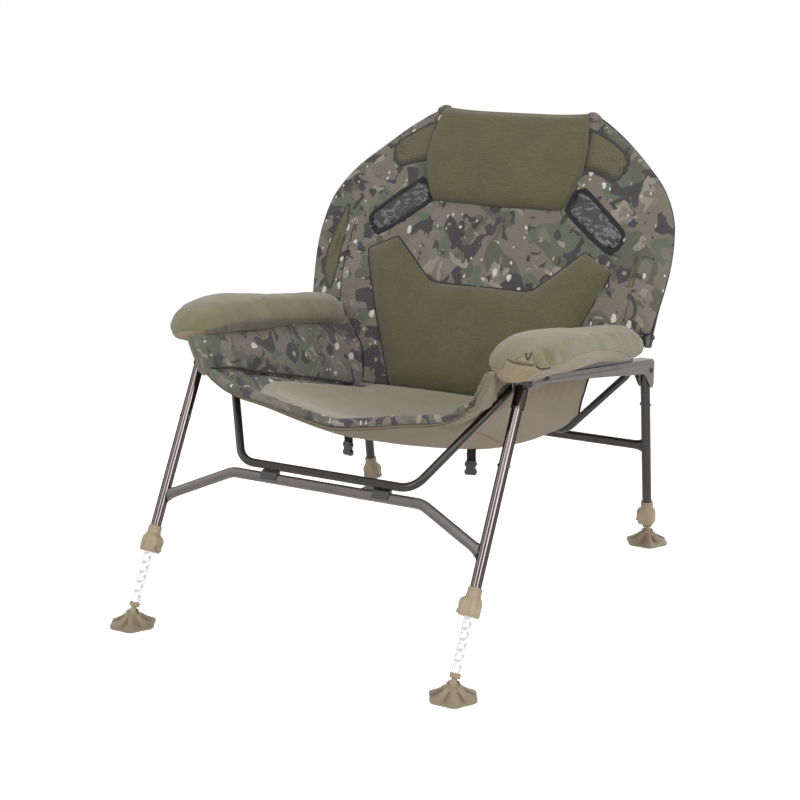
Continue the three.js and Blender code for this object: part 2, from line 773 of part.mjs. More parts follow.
function legFrame(name, plan, pinDrop, hasSleeve, barPath) {
  const frame = new THREE.Group();
  place(frame, `${name}_crossbar`, crossbar(barPath), materials.darkFrame);
  for (const [word, side] of sides) {
    const at = (drop) => [side * legX, 0, -drop];
    place(frame, `${name}_leg_${word}`, outerLeg(plan, pinDrop), materials.gunmetal, at(0));
    place(frame, `${name}_leg_pin_${word}`, crossPin(legTubeDiameter), materials.darkFrame, at(pinDrop));
    place(frame, `${name}_collar_${word}`, collar(-side), materials.tanPlastic, at(plan.collarTop));
    place(frame, `${name}_lever_${word}`, lever(-side), materials.tanPlastic,
      [side * (legX - leverHingeReach), 0, -plan.collarTop - leverHingeDrop]);
    place(frame, `${name}_inner_leg_${word}`, innerLeg(), materials.bright, at(plan.flangeTop - fitGap));
    place(frame, `${name}_ball_stem_${word}`, ballStem(), materials.tanPlastic, at(plan.ballDrop));
    if (hasSleeve) {
      const low = legTopOver - sleeveLength;
      const sleeve = pipe(sleeveRadius, legRadius + fitGap, low, legTopOver, round.medium);
      const hole = bar('x', boltRadius + fitGap, 2 * sleeveRadius + cutOverrun, [0, 0, 0]);
      place(frame, `${name}_leg_sleeve_${word}`, cut(sleeve, hole), materials.gunmetal, at(0));
    }
  }
  return frame;
}

function feet(name, y) {
  for (const [word, side] of sides) {
    place(chair, `${name}_foot_${word}`, mudFoot(), materials.tanPlastic, [side * legX, y, ballHeight]);
  }
}

function frontFrame() {
  const plan = legPlan(frontBallDrop, frontExtension);
  const frame = legFrame('front', plan, frontPinDrop, true, frontCrossbarPath());
  frame.position.set(0, frontPivotY, frontPivotZ);
  frame.rotation.x = -frontLean;
  chair.add(frame);
  feet('front', frontPivotY - frontBallDrop * Math.sin(frontLean));
}

function rearFrame() {
  const plan = legPlan(rearBallDrop, 0);
  const ends = [[-legX, 0, -rearCrossbarDrop], [legX, 0, -rearCrossbarDrop]];
  const path = new BentPath(ends, crossbarBendRadius, 1);
  const frame = legFrame('rear', plan, rearPinDrop, false, path);
  frame.position.set(0, rearPivotY, rearPivotZ);
  frame.rotation.x = rearLean;
  chair.add(frame);
  feet('rear', rearPivotY + rearBallDrop * Math.sin(rearLean));
}

function armRails() {
  const inboard = tubeX - seatTubeDiameter / 2;
  const bolts = [
    ['front_pivot', railInner, railOuter, frontPivotY, frontPivotZ],
    ['front_tube', inboard, railOuter, ...frontTubeBolt],
    ['rear_pivot', railInner, railOuter, rearPivotY, rearPivotZ],
    ['back_pivot', legX - plateWidth / 2, hoopFootX + hoopDiameter / 2 + 3 * fitGap, backPivotY, backPivotZ],
  ];
  for (const [word, side] of sides) {
    place(chair, `arm_rail_${word}`, armRail(side), materials.railMetal);
    for (const [name, from, to, y, z] of bolts) {
      place(chair, `${name}_bolt_${word}`, pivotBolt(from, to, side), materials.blackPlastic, [0, y, z]);
    }
    place(chair, `arm_plate_${word}`, armPlate(side), materials.darkFrame);
    place(chair, `arm_pad_${word}`, armPad(side), materials.suede);
  }
}

// The plate's top edge: a low bow over the rail
const plateFrontY = frontPivotY + plateFrontSetback;
const plateRearY = backPivotY - plateRearReach;
const plateTopAt = (y) => {
  const share = THREE.MathUtils.clamp((y - plateFrontY) / (plateRearY - plateFrontY), 0, 1);
  return railTopAt(y) + railWall + plateBowHeight * Math.sin(Math.PI * share);
};

// The bowed plate, with an upright at its rear end that carries the back's pivot
function armPlate(side) {
  const steps = 10;
  const top = [];
  for (let i = 0; i <= steps; i += 1) {
    const y = mix(plateFrontY, plateRearY, i / steps);
    top.push([y, plateTopAt(y)]);
  }
  const eye = [];
  for (let i = 0; i <= steps; i += 1) {
    const angle = Math.PI - (Math.PI * i) / steps;
    eye.push([backPivotY + plateEndRadius * Math.cos(angle), backPivotZ + plateEndRadius * Math.sin(angle)]);
  }
  const heelY = backPivotY + plateEndRadius;
  const bottom = [[heelY, railTopAt(heelY) + fitGap], [plateFrontY, railTopAt(plateFrontY) + fitGap]];
  const plate = sidePlate([...top, ...eye, ...bottom], plateWidth, side * legX);
  const pivot = [side * legX, backPivotY, backPivotZ];
  return cut(plate, bar('x', boltRadius + fitGap, plateWidth + cutOverrun, pivot));
}

// A stuffed arm pad: crowned on top, full at its front end, resting on the rail and its plate
function armPad(side) {
  const padCentreX = legX + padOutset;
  const padFrontY = frontPivotY - padFrontReach;
  const padRearY = backPivotY - padRearReach;
  const surface = (up) => (u, v) => {
    const y = mix(padFrontY, padRearY, v);
    const across1 = (2 * u - 1) * readTable(padWidthShares, v);
    const overRail = Math.abs(padCentreX + across1 * padHalfWidth - legX) < railWidth;
    const low = (overRail ? plateTopAt(y) : plateTopAt(y) - padSkirt) + 4 * fitGap;
    const high = railTopAt(y) + padHeight * readTable(padTopShares, v);
    const middle = mix(low, high, 0.45);
    const bulge = crown(u) * (0.4 + 0.6 * crown(v));
    return [side * (padCentreX + across1 * padHalfWidth), y,
      up ? mix(middle, high, bulge) + fitGap : mix(middle, low, crown(u) ** 2)];
  };
  const vs = [0, 0.03, 0.08, 0.16, 0.27, 0.38, 0.49, 0.6, 0.71, 0.82, 0.91, 0.97, 1];
  return cut(sheet(10, vs, surface(true), surface(false)), frontTube(tubeGap));
}

// The back's front face leans: how far back it lies at a height
const backFaceAt = (z) => (
  backPivotY + (backSetback + (z - backPivotZ) * Math.sin(backLean)) / Math.cos(backLean)
);

// The wall's top edge lies just under the arm pad; its place and height are found in turns
function wallTopAt(frontY, v) {
  let top = backPivotZ;
  for (let turn = 0; turn < 3; turn += 1) {
    top = plateTopAt(mix(frontY, backFaceAt(top) - backGap, v)) - padSkirt - 2 * fitGap;
  }
  return top;
}

// A place on the trough's upper face: u runs from wall to wall and v from the front lip to the back
function troughPoint(u, v) {
  const a = Math.abs(2 * u - 1);
  const inFloor = Math.min(a / wallShare, 1);
  const upWall = Math.max(0, (a - wallShare) / (1 - wallShare));
  const wallTopX = railInner - wallTopInset;
  const creaseX = wallTopX - mix(creaseFrontInset, creaseRearInset, v);
  const creaseZ = frontPivotZ - mix(creaseFrontDrop, creaseRearDrop, v);
  const x = mix(inFloor * creaseX, wallTopX, upWall);
  const frontY = frontPivotY - mix(troughFrontReach, wallFrontReach, upWall);
  const middleZ = frontPivotZ - troughDrop * readTable(troughShares, v);
  const floor = mix(middleZ, creaseZ, inFloor ** mix(frontHollow, rearHollow, v));
  const z = mix(floor, wallTopAt(frontY, v), upWall);
  return [Math.sign(2 * u - 1) * x, mix(frontY, backFaceAt(z) - backGap, v), z];
}

function seatShell() {
  const shares = [0, 0.05, 0.09, 0.18, 0.27, 0.36, 0.45, 0.55, 0.64, 0.73, 0.82, 0.91, 0.95, 1];
  const trough = sheet(shares, 12, troughPoint, (u, v) => {
    const [x, y, z] = troughPoint(u, v);
    const upWall = Math.max(0, (Math.abs(2 * u - 1) - wallShare) / (1 - wallShare));
    return [x + Math.sign(x) * wallThickness * Math.abs(2 * u - 1), y, z - shellThickness * (1 - upWall)];
  });
  return cut(trough, frontTube(tubeGap));
}

// The seat pad: a crowned lens on the trough's floor
function seatPad() {
  const surface = (up) => (u, v) => {
    const spread = seatPadShare * (0.6 + 0.4 * crown(v));
    const across1 = 0.5 + (u - 0.5) * wallShare * spread;
    const rise = seatPadEdge + (seatPadThickness - seatPadEdge) * crown(u) * crown(v);
    const [x, y, z] = troughPoint(across1, mix(seatPadFrontShare, seatPadRearShare, v));
    return [x, y, up ? z + rise : z - seatPadEdge / 2];
  };
  const rough = sheet(12, 10, surface(true), surface(false));
  return cut(rough, seatShell().translate(0, 0, fitGap));
}

function bucketSeat() {
  place(chair, 'seat_shell', seatShell(), materials.tanFabric);
  place(chair, 'seat_pad', seatPad(), materials.oliveFabric);
  const strapX = legX - strapInset;
  const strapY = frontPivotY + strapSetback;
  const frontY = frontPivotY - troughFrontReach;
  const v = (strapY - frontY) / (backPivotY - padRearReach - frontY);
  const creaseX = railInner - wallTopInset - mix(creaseFrontInset, creaseRearInset, v);
  const [, , z] = troughPoint(0.5 + (wallShare * (strapX - strapWidth / 2)) / (2 * creaseX), v);
  for (const [word, side] of sides) {
    // the strap starts inside the shell and is cut back to its underside
    const top = z - shellThickness / 2;
    const long = strapLength + shellThickness / 2;
    const tape = block([strapWidth, strapThickness, long], [side * strapX, strapY, top - long / 2]);
    place(chair, `strap_${word}`, cut(tape, seatShell().translate(0, 0, -fitGap)), materials.webbing);
    const hang = [side * strapX, strapY, top - long - fitGap];
    place(chair, `buckle_${word}`, buckle(), materials.blackPlastic, hang);
  }
}

// A side-release buckle hanging from its strap
function buckle() {
  const half = buckleWidth / 2;
  const waist = half * 0.7;
  const shape = new THREE.Shape([
    [-waist, 0], [waist, 0], [half, -buckleLength * 0.25], [waist, -buckleLength * 0.5],
    [half, -buckleLength * 0.7], [half * 0.8, -buckleLength], [-half * 0.8, -buckleLength],
    [-half, -buckleLength * 0.7],
    [-waist, -buckleLength * 0.5], [-half, -buckleLength * 0.25],
  ].map(([x, z]) => new THREE.Vector2(x, z)));
  const geometry = new THREE.ExtrudeGeometry(shape, { depth: buckleThickness, bevelEnabled: false });
  return geometry.rotateX(Math.PI / 2).translate(0, buckleThickness / 2, 0);
}

const backHeight = backTop - backBottom;
const backHalfAt = (v) => backHalfWidth * readTable(backOutlineShares, v);
// how far a place on the back's front lies ahead of its flat middle
const wingAt = (x) => {
  const beyond = Math.max(0, Math.abs(x) / backHalfWidth - wingStartShare) / (1 - wingStartShare);
  return wingForward * beyond ** 1.5;
};

// The padded panel without the hoop's channel
function backPanel() {
  const vs = backOutlineShares.map(([height]) => height);
  return sheet(16, vs, (u, v) => {
    const x = (2 * u - 1) * backHalfAt(v);
    return [x, backSetback - wingAt(x), backBottom + backHeight * v];
  }, (u, v) => {
    const x = (2 * u - 1) * backHalfAt(v);
    const thick = mix(backEdgeThickness, backThickness, crown(u) * crown(v));
    return [x, backSetback - wingAt(x) + thick, backBottom + backHeight * v];
  });
}

function backShell() {
  return cut(backPanel(), along(hoopPath(), circle(hoopDiameter / 2 + fitGap, round.coarse)));
}

// The hoop runs in the back of the shell's rim, and its feet stand on the pivots
function hoopPath() {
  const line = (x) => backSetback + backEdgeThickness - wingAt(x);
  const rimShares = [0.39, 0.5, 0.61, 0.7, 0.79, 0.89];
  const side = [[hoopFootX, line(hoopFootX), -hoopFootDrop]];
  for (const v of rimShares) {
    const x = backHalfAt(v) - hoopInset;
    side.push([x, line(x), backBottom + backHeight * v - (v > 0.65 ? hoopInset / 2 : 0)]);
  }
  const crestX = backHalfAt(1) - hoopInset;
  side.push([crestX, line(crestX), backTop - hoopInset]);
  const left = side.map(([x, y, z]) => [-x, y, z]).reverse();
  return new BentPath([...side, ...left], hoopBendRadius, 1);
}

function backHoop() {
  const hole = (at) => bar('x', boltRadius + fitGap, hoopDiameter + cutOverrun, [at * hoopFootX, 0, 0]);
  return cut(along(hoopPath(), circle(hoopDiameter / 2, round.coarse)), hole(1), hole(-1));
}

// A pad on the back's front: crowned, with thin edges
function padOnBack(outline, thickness) {
  const surface = (front) => (u, v) => {
    const [x, z] = outline(u, v);
    const bulge = padEdgeThickness + (thickness - padEdgeThickness) * crown(u) * crown(v);
    return [x, backSetback - wingAt(x) - 2 * fitGap - (front ? bulge : 0), z];
  };
  return cut(sheet(12, 10, surface(true), surface(false)), backPanel().translate(0, -fitGap, 0));
}

// The lumbar pad: narrow at the seat, with a wide notch in its top edge
function lumbarPad() {
  const veeStart = 0.37;
  const veeEnd = 0.76;
  return padOnBack((u, v) => {
    const a = Math.abs(2 * u - 1);
    const waist = 0.55;
    const share = v < waist ? mix(lumbarBottomShare, lumbarMiddleShare, v / waist)
      : mix(lumbarMiddleShare, lumbarTopShare, (v - waist) / (1 - waist));
    const topShare = readTable([
      [0, lumbarVeeShare], [veeStart, lumbarVeeShare], [veeEnd, lumbarShoulderShare], [1, lumbarCornerShare],
    ], a);
    const half = backHalfWidth * share;
    const top = backBottom + backHeight * topShare;
    const bottom = backBottom + lumbarInset;
    return [(2 * u - 1) * half, mix(bottom, top, v)];
  }, lumbarThickness);
}

function headrest() {
  return padOnBack((u, v) => {
    const half = backHalfWidth * headrestShare * readTable([[0, 0.86], [0.43, 1], [1, 0.93]], v);
    const top = backTop + headrestOver;
    return [(2 * u - 1) * half, mix(top - headrestHeight, top, v)];
  }, headrestThickness);
}

function back() {
  const group = new THREE.Group();
  place(group, 'back_shell', backShell(), materials.camoFabric);
  place(group, 'back_hoop', backHoop(), materials.darkFrame);
  place(group, 'lumbar_pad', lumbarPad(), materials.oliveFabric);
  place(group, 'headrest', headrest(), materials.oliveFabric);
  group.position.set(0, backPivotY, backPivotZ);
  group.rotation.x = -backLean;
  chair.add(group);
}

armRails();
seatTubes();
frontFrame();
rearFrame();
bucketSeat();
back();

// The origin goes midway between the foremost and rearmost points
chair.updateMatrixWorld(true);
const box = new THREE.Box3().setFromObject(chair, true);
chair.position.y = -(box.min.y + box.max.y) / 2;

export default chair;
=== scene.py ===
# The looks of the folding fishing chair: metal frame, fittings and soft goods, on a white studio floor.
# Sizes are in millimetres until a mesh is made, in the drawing's frame: X across, -Y ahead, Z up.
import math

import bmesh
import bpy
import numpy as np
from mathutils import Matrix, Vector, noise


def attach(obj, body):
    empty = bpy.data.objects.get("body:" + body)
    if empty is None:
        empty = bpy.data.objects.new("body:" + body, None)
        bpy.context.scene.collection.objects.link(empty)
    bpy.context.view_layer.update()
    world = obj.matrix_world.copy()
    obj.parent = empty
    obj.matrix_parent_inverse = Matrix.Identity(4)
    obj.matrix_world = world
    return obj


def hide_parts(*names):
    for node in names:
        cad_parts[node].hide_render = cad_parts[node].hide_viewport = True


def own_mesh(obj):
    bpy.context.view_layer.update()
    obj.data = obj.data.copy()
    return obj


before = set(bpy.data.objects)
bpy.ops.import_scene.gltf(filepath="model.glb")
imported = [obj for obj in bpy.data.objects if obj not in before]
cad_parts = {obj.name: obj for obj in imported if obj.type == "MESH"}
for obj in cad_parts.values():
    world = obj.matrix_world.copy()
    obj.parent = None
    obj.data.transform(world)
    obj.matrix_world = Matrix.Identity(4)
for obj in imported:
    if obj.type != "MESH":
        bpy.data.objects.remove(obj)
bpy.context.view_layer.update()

MM = 0.001
# The drawing's frame lies this far behind the frame that the sizes below were measured in
SHIFT = 3.24

# Pivots and leans
FRONT_PIVOT = (-205, 499)
REAR_PIVOT = (401, 396)
BACK_PIVOT = (289, 492)
FRONT_LEAN = math.radians(-29)
REAR_LEAN = math.radians(7.74)
BACK_LEAN = math.radians(-26)
LEG_X = 343
SIDES = (("left", 1), ("right", -1))

# Legs
LEG_RADIUS = 10
INNER_RADIUS = 8.5
COLLAR_LENGTH = 51
LEG_TOP = 9
SLEEVE_LENGTH = 46
BALL_HEIGHT = 26
FLANGE_ABOVE_BALL = 19

# The back's plane passes through here: behind, up
BACK_BASE = (316, 552)

# Edges sharper than this are creased, and points nearer than this, in metres, are one
SHARP_ANGLE = math.radians(35)
MERGE_GAP = 1e-6


# Helpers for meshes

def place(y, z, lean=0.0):
    """The matrix of a frame at a pivot, leaning about X, in millimetres of the drawing's frame."""
    return Matrix.Translation((0, y + SHIFT, z)) @ Matrix.Rotation(lean, 4, "X")


def sideways(x):
    """The matrix of a move across the chair."""
    return Matrix.Translation((x, 0, 0))


WORLD = place(0, 0)
FRONT = place(*FRONT_PIVOT, FRONT_LEAN)
REAR = place(*REAR_PIVOT, REAR_LEAN)
BACK = place(*BACK_BASE, BACK_LEAN)
# Turns a lathe's axis to X, and X to Y
TO_X = Matrix.Rotation(math.pi / 2, 4, "Y")
TO_Y = Matrix.Rotation(math.pi / 2, 4, "Z")


def make(name, verts, faces, material, matrix=WORLD, lining=None, lined_from=0):
    """A closed mesh from points in millimetres, faces outwards. The lining takes its later faces."""
    mesh = bpy.data.meshes.new(name)
    mesh.from_pydata([(matrix @ Vector(v)) * MM for v in verts], [], faces)
    mesh.validate()
    mesh.update()
    mesh.materials.append(material)
    if lining:
        mesh.materials.append(lining)
        for face in mesh.polygons[lined_from:]:
            face.material_index = 1
    work = bmesh.new()
    work.from_mesh(mesh)
    bmesh.ops.remove_doubles(work, verts=work.verts, dist=MERGE_GAP)
    bmesh.ops.recalc_face_normals(work, faces=work.faces)
    work.to_mesh(mesh)
    work.free()
    mesh.shade_smooth()
    mesh.set_sharp_from_angle(angle=SHARP_ANGLE)
    obj = bpy.data.objects.new(name, mesh)
    bpy.context.scene.collection.objects.link(obj)
    return obj


def with_modifier(obj, kind, **settings):
    """The mesh with one modifier applied to it."""
    modifier = obj.modifiers.new(kind.title(), kind)
    for key, value in settings.items():
        setattr(modifier, key, value)
    graph = bpy.context.evaluated_depsgraph_get()
    mesh = bpy.data.meshes.new_from_object(obj.evaluated_get(graph))
    obj.modifiers.clear()
    obj.data = mesh
    return obj


def puffed(obj, cap, voxel=5.0, pressure=4.0, frames=20):
    """The piece blown up as cloth: remeshed, simulated, held to the cap, and smoothed once."""
    with_modifier(obj, "REMESH", mode="VOXEL", voxel_size=voxel * MM)
    start = [vertex.co.copy() for vertex in obj.data.vertices]
    settings = obj.modifiers.new("Cloth", "CLOTH").settings
    settings.use_pressure = True
    settings.uniform_pressure_force = pressure
    settings.effector_weights.gravity = 0
    scene = bpy.context.scene
    for step in range(1, frames + 1):
        scene.frame_set(step)
    blown = obj.evaluated_get(bpy.context.evaluated_depsgraph_get()).data
    moved = [vertex.co - at for vertex, at in zip(blown.vertices, start)]
    obj.modifiers.clear()
    scene.frame_set(1)
    for vertex, at, move in zip(obj.data.vertices, start, moved):
        limit = cap * MM / max(move.length, 1e-9)
        vertex.co = at + move * min(1.0, limit)
    with_modifier(obj, "SUBSURF", levels=1, render_levels=1)
    obj.data.shade_smooth()
    return obj


def mix(a, b, t):
    return a + (b - a) * t


def smooth(t):
    t = min(1.0, max(0.0, t))
    return t * t * (3 - 2 * t)


def crown(share, power=2.6):
    """A swell from 0 at both ends to 1 between them; a high power gives it a flat top."""
    return max(0.0, 1 - abs(2 * share - 1) ** power) ** (1 / power)


def bell(distance, width):
    """1 where the distance is 0, falling off over the width."""
    return math.exp(-(distance / width) ** 2)


def spread(start, end, count):
    return [start + (end - start) * i / (count - 1) for i in range(count)]


def eased(count):
    """Shares from 0 to 1, closer together near both ends."""
    return [0.5 - 0.5 * math.cos(math.pi * i / (count - 1)) for i in range(count)]


def angles(count):
    """Evenly placed angles of one full turn."""
    return [2 * math.pi * i / count for i in range(count)]


def table(rows, at):
    """A value read off (place, value) rows, in a smooth curve through them."""
    xs = [r[0] for r in rows]
    if at <= xs[0]:
        return rows[0][1]
    if at >= xs[-1]:
        return rows[-1][1]
    i = max(k for k in range(len(xs) - 1) if xs[k] <= at)
    slope = [(b[1] - a[1]) / (b[0] - a[0]) for a, b in zip(rows, rows[1:])]
    tangent = [slope[0]]
    for a, b in zip(slope, slope[1:]):
        tangent.append(0 if a * b <= 0 else 2 * a * b / (a + b))
    tangent.append(slope[-1])
    span = xs[i + 1] - xs[i]
    t = (at - xs[i]) / span
    h = ((1 + 2 * t) * (1 - t) ** 2, t * (1 - t) ** 2, t * t * (3 - 2 * t), t * t * (t - 1))
    return h[0] * rows[i][1] + h[1] * span * tangent[i] + h[2] * rows[i + 1][1] + h[3] * span * tangent[i + 1]


def ripple(x, y, z, size, seed=0.0):
    """Soft noise from -1 to 1 with waves of about this size."""
    return noise.noise(Vector((x / size + seed, y / size - seed, z / size + 2 * seed)))


def grid_faces(columns, rows, offset=0, wrap=False, flip=False):
    """Faces between the points of a grid; where it wraps, each row is a ring."""
    faces = []
    for j in range(rows - 1):
        for i in range(columns if wrap else columns - 1):
            a = offset + j * columns + i
            b = offset + j * columns + (i + 1) % columns
            face = (a, b, b + columns, a + columns)
            faces.append(face[::-1] if flip else face)
    return faces


def band(first, second, count):
    """Faces between two rings of points."""
    return [(first + i, first + (i + 1) % count, second + (i + 1) % count, second + i) for i in range(count)]


def slab(name, us, vs, point, material, matrix=WORLD, lining=None):
    """A closed sheet between the two surfaces of point(u, v, upper)."""
    columns, rows = len(us), len(vs)
    verts = [point(u, v, upper) for upper in (True, False) for v in vs for u in us]
    layer = columns * rows
    faces = grid_faces(columns, rows) + grid_faces(columns, rows, layer, flip=True)
    for j in range(rows - 1):
        left, right = j * columns, (j + 1) * columns - 1
        faces.append((left, left + columns, layer + left + columns, layer + left))
        faces.append((right, layer + right, layer + right + columns, right + columns))
    for i in range(columns - 1):
        low, high = i, (rows - 1) * columns + i
        faces.append((low, layer + low, layer + low + 1, low + 1))
        faces.append((high, high + 1, layer + high + 1, layer + high))
    return make(name, verts, faces, material, matrix, lining, (columns - 1) * (rows - 1))


def loft(name, rings, material, matrix=WORLD, closed=False):
    """A body through rings of as many points each. Where closed, its last ring meets its first."""
    count = len(rings[0])
    last = (len(rings) - 1) * count
    faces = grid_faces(count, len(rings), wrap=True)
    faces += band(last, 0, count) if closed else [tuple(range(count))[::-1], tuple(range(last, last + count))]
    return make(name, [p for ring in rings for p in ring], faces, material, matrix)


def directions(path, closed=False):
    """The way a path runs at each of its points."""
    count = len(path)
    out = []
    for i, p in enumerate(path):
        ahead = path[(i + 1) % count] if closed or i + 1 < count else p
        behind = path[i - 1] if closed or i > 0 else p
        out.append((ahead - behind).normalized())
    return out


def lift_over(along):
    """The way up, square to a bar that runs along there in a plane across the chair."""
    lift = Vector((0, -1, 0)).cross(along)
    return lift if lift.z > 0 else -lift


def sweep(name, path, section, material, matrix=WORLD, up=Vector((0, 0, 1)), closed=False):
    """A section of (side, height) points carried along a path; its height stays near the up direction."""
    path = [Vector(p) for p in path]
    rings = []
    side = None
    for p, along in zip(path, directions(path, closed)):
        if up is None:
            # the frame is carried on from the last one, without twist
            side = side or along.orthogonal().normalized()
            side = (side - along * side.dot(along)).normalized()
        else:
            side = along.cross(up).normalized()
        lift = side.cross(along)
        rings.append([p + side * a + lift * b for a, b in section])
    return loft(name, rings, material, matrix, closed)


def lathe(name, profile, material, matrix=WORLD, segments=32):
    """A turned piece about the matrix's Z axis, from (radius, height) points."""
    verts, rings = [], []
    for radius, height in profile:
        sides = angles(segments) if radius > 0 else [0.0]
        rings.append(list(range(len(verts), len(verts) + len(sides))))
        verts += [(radius * math.cos(a), radius * math.sin(a), height) for a in sides]
    faces = []
    for low, high in zip(rings, rings[1:]):
        for i in range(segments):
            k = (i + 1) % segments
            if len(low) == 1 and len(high) > 1:
                faces.append((low[0], high[k], high[i]))
            elif len(high) == 1 and len(low) > 1:
                faces.append((low[i], low[k], high[0]))
            elif len(low) > 1:
                faces.append((low[i], low[k], high[k], high[i]))
    return make(name, verts, faces, material, matrix)


def prism(name, outline, width, x, material, matrix, round_edge):
    """An outline of (y, z) points with a width along X and rounded edges."""
    count = len(outline)
    verts = [(x + end * width / 2, y, z) for end in (-1, 1) for y, z in outline]
    faces = [tuple(range(count)), tuple(range(2 * count - 1, count - 1, -1))]
    faces += [(i, i + count, (i + 1) % count + count, (i + 1) % count) for i in range(count)]
    obj = make(name, verts, faces, material, matrix)
    bevel = obj.modifiers.new("Rounded edges", "BEVEL")
    bevel.width = round_edge * MM
    bevel.segments = 2
    bevel.limit_method = "ANGLE"
    return obj


def rounded(points, radius, steps=6):
    """A path with its corners rounded."""
    points = [Vector(p) for p in points]
    out = [points[0]]
    for before, corner, after in zip(points, points[1:], points[2:]):
        a = (before - corner).normalized()
        b = (after - corner).normalized()
        half = a.angle(b) / 2
        reach = min(radius / math.tan(half), (before - corner).length * 0.49, (after - corner).length * 0.49)
        centre = corner + (a + b).normalized() * (reach * math.tan(half) / math.sin(half))
        start = corner + a * reach - centre
        end = corner + b * reach - centre
        bend = start.angle(end)
        for t in spread(0, 1, steps + 1):
            out.append(centre + (start * math.sin((1 - t) * bend) + end * math.sin(t * bend)) / math.sin(bend))
    out.append(points[-1])
    return out


def smoothed(points, steps=6, closed=False):
    """A flowing curve through points."""
    points = [Vector(p) for p in points]
    count = len(points)
    out = []
    for i in range(count if closed else count - 1):
        near = [(i + k) % count if closed else min(max(i + k, 0), count - 1) for k in (-1, 0, 1, 2)]
        p = [points[n] for n in near]
        for k in range(steps):
            t = k / steps
            out.append(0.5 * (2 * p[1] + (p[2] - p[0]) * t + (2 * p[0] - 5 * p[1] + 4 * p[2] - p[3]) * t * t
                              + (3 * p[1] - p[0] - 3 * p[2] + p[3]) * t ** 3))
    if not closed:
        out.append(points[-1])
    return out


def refined(path, step=9):
    """The path with points between its own, about a step apart."""
    out = []
    for a, b in zip(path, path[1:]):
        count = max(1, int((b - a).length / step))
        out += [a.lerp(b, k / count) for k in range(count)]
    return out + [path[-1]]


def circle(radius, sides=24):
    return [(radius * math.cos(a), radius * math.sin(a)) for a in angles(sides)]


def oval(width, height, steps=8):
    """A section with straight sides and round ends."""
    radius, shoulder = width / 2, height / 2 - width / 2
    return [(end * radius * math.cos(a), end * (shoulder + radius * math.sin(a)))
            for end in (1, -1) for a in spread(0, math.pi, steps + 1)]


def squircle(half_x, half_y, height, power, count, centre_x):
    ring = []
    for angle in angles(count):
        c, s = math.cos(angle), math.sin(angle)
        reach = (abs(c) ** power + abs(s) ** power) ** (-1 / power)
        ring.append((centre_x + half_x * reach * c, half_y * reach * s, height))
    return ring


def piece(obj, body, *nodes):
    """The object rides on a body and stands for these nodes of the drawing."""
    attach(obj, body)
    if nodes:
        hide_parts(*nodes)
    return obj


def join(name, *objects):
    """Several meshes as one object."""
    bpy.ops.object.select_all(action="DESELECT")
    for obj in objects:
        for modifier in list(obj.modifiers):
            bpy.context.view_layer.objects.active = obj
            bpy.ops.object.modifier_apply(modifier=modifier.name)
        obj.select_set(True)
    bpy.context.view_layer.objects.active = objects[0]
    bpy.ops.object.join()
    objects[0].name = name
    objects[0].data.name = name
    return objects[0]


# Materials

class Graph:
    """The nodes of a material or of the world. What feeds an input is a constant or another node's output."""

    def __init__(self, owner):
        owner.use_nodes = True
        self.nodes, self.links = owner.node_tree.nodes, owner.node_tree.links

    def feed(self, socket, value):
        if isinstance(value, bpy.types.NodeSocket):
            self.links.new(value, socket)
        elif isinstance(value, tuple) and socket.type == "RGBA":
            socket.default_value = (*value, 1)
        else:
            socket.default_value = value

    def node(self, kind, inputs, output=0, **settings):
        made = self.nodes.new(kind)
        for key, value in settings.items():
            setattr(made, key, value)
        for key, value in inputs.items():
            self.feed(made.inputs[key], value)
        return made.outputs[output]

    def math(self, a, b, operation="ADD"):
        return self.node("ShaderNodeMath", {0: a, 1: b}, operation=operation)

    def shown(self):
        """1 for rays that show a thing to the camera, straight, mirrored or through glass; else 0."""
        rays = self.nodes.new("ShaderNodeLightPath").outputs
        straight = self.math(rays["Is Camera Ray"], rays["Is Glossy Ray"], "MAXIMUM")
        return self.math(straight, rays["Is Transmission Ray"], "MAXIMUM")

    def either(self, factor, a, b):
        """One of two shaders, or a blend of both."""
        return self.node("ShaderNodeMixShader", {0: factor, 1: a, 2: b})


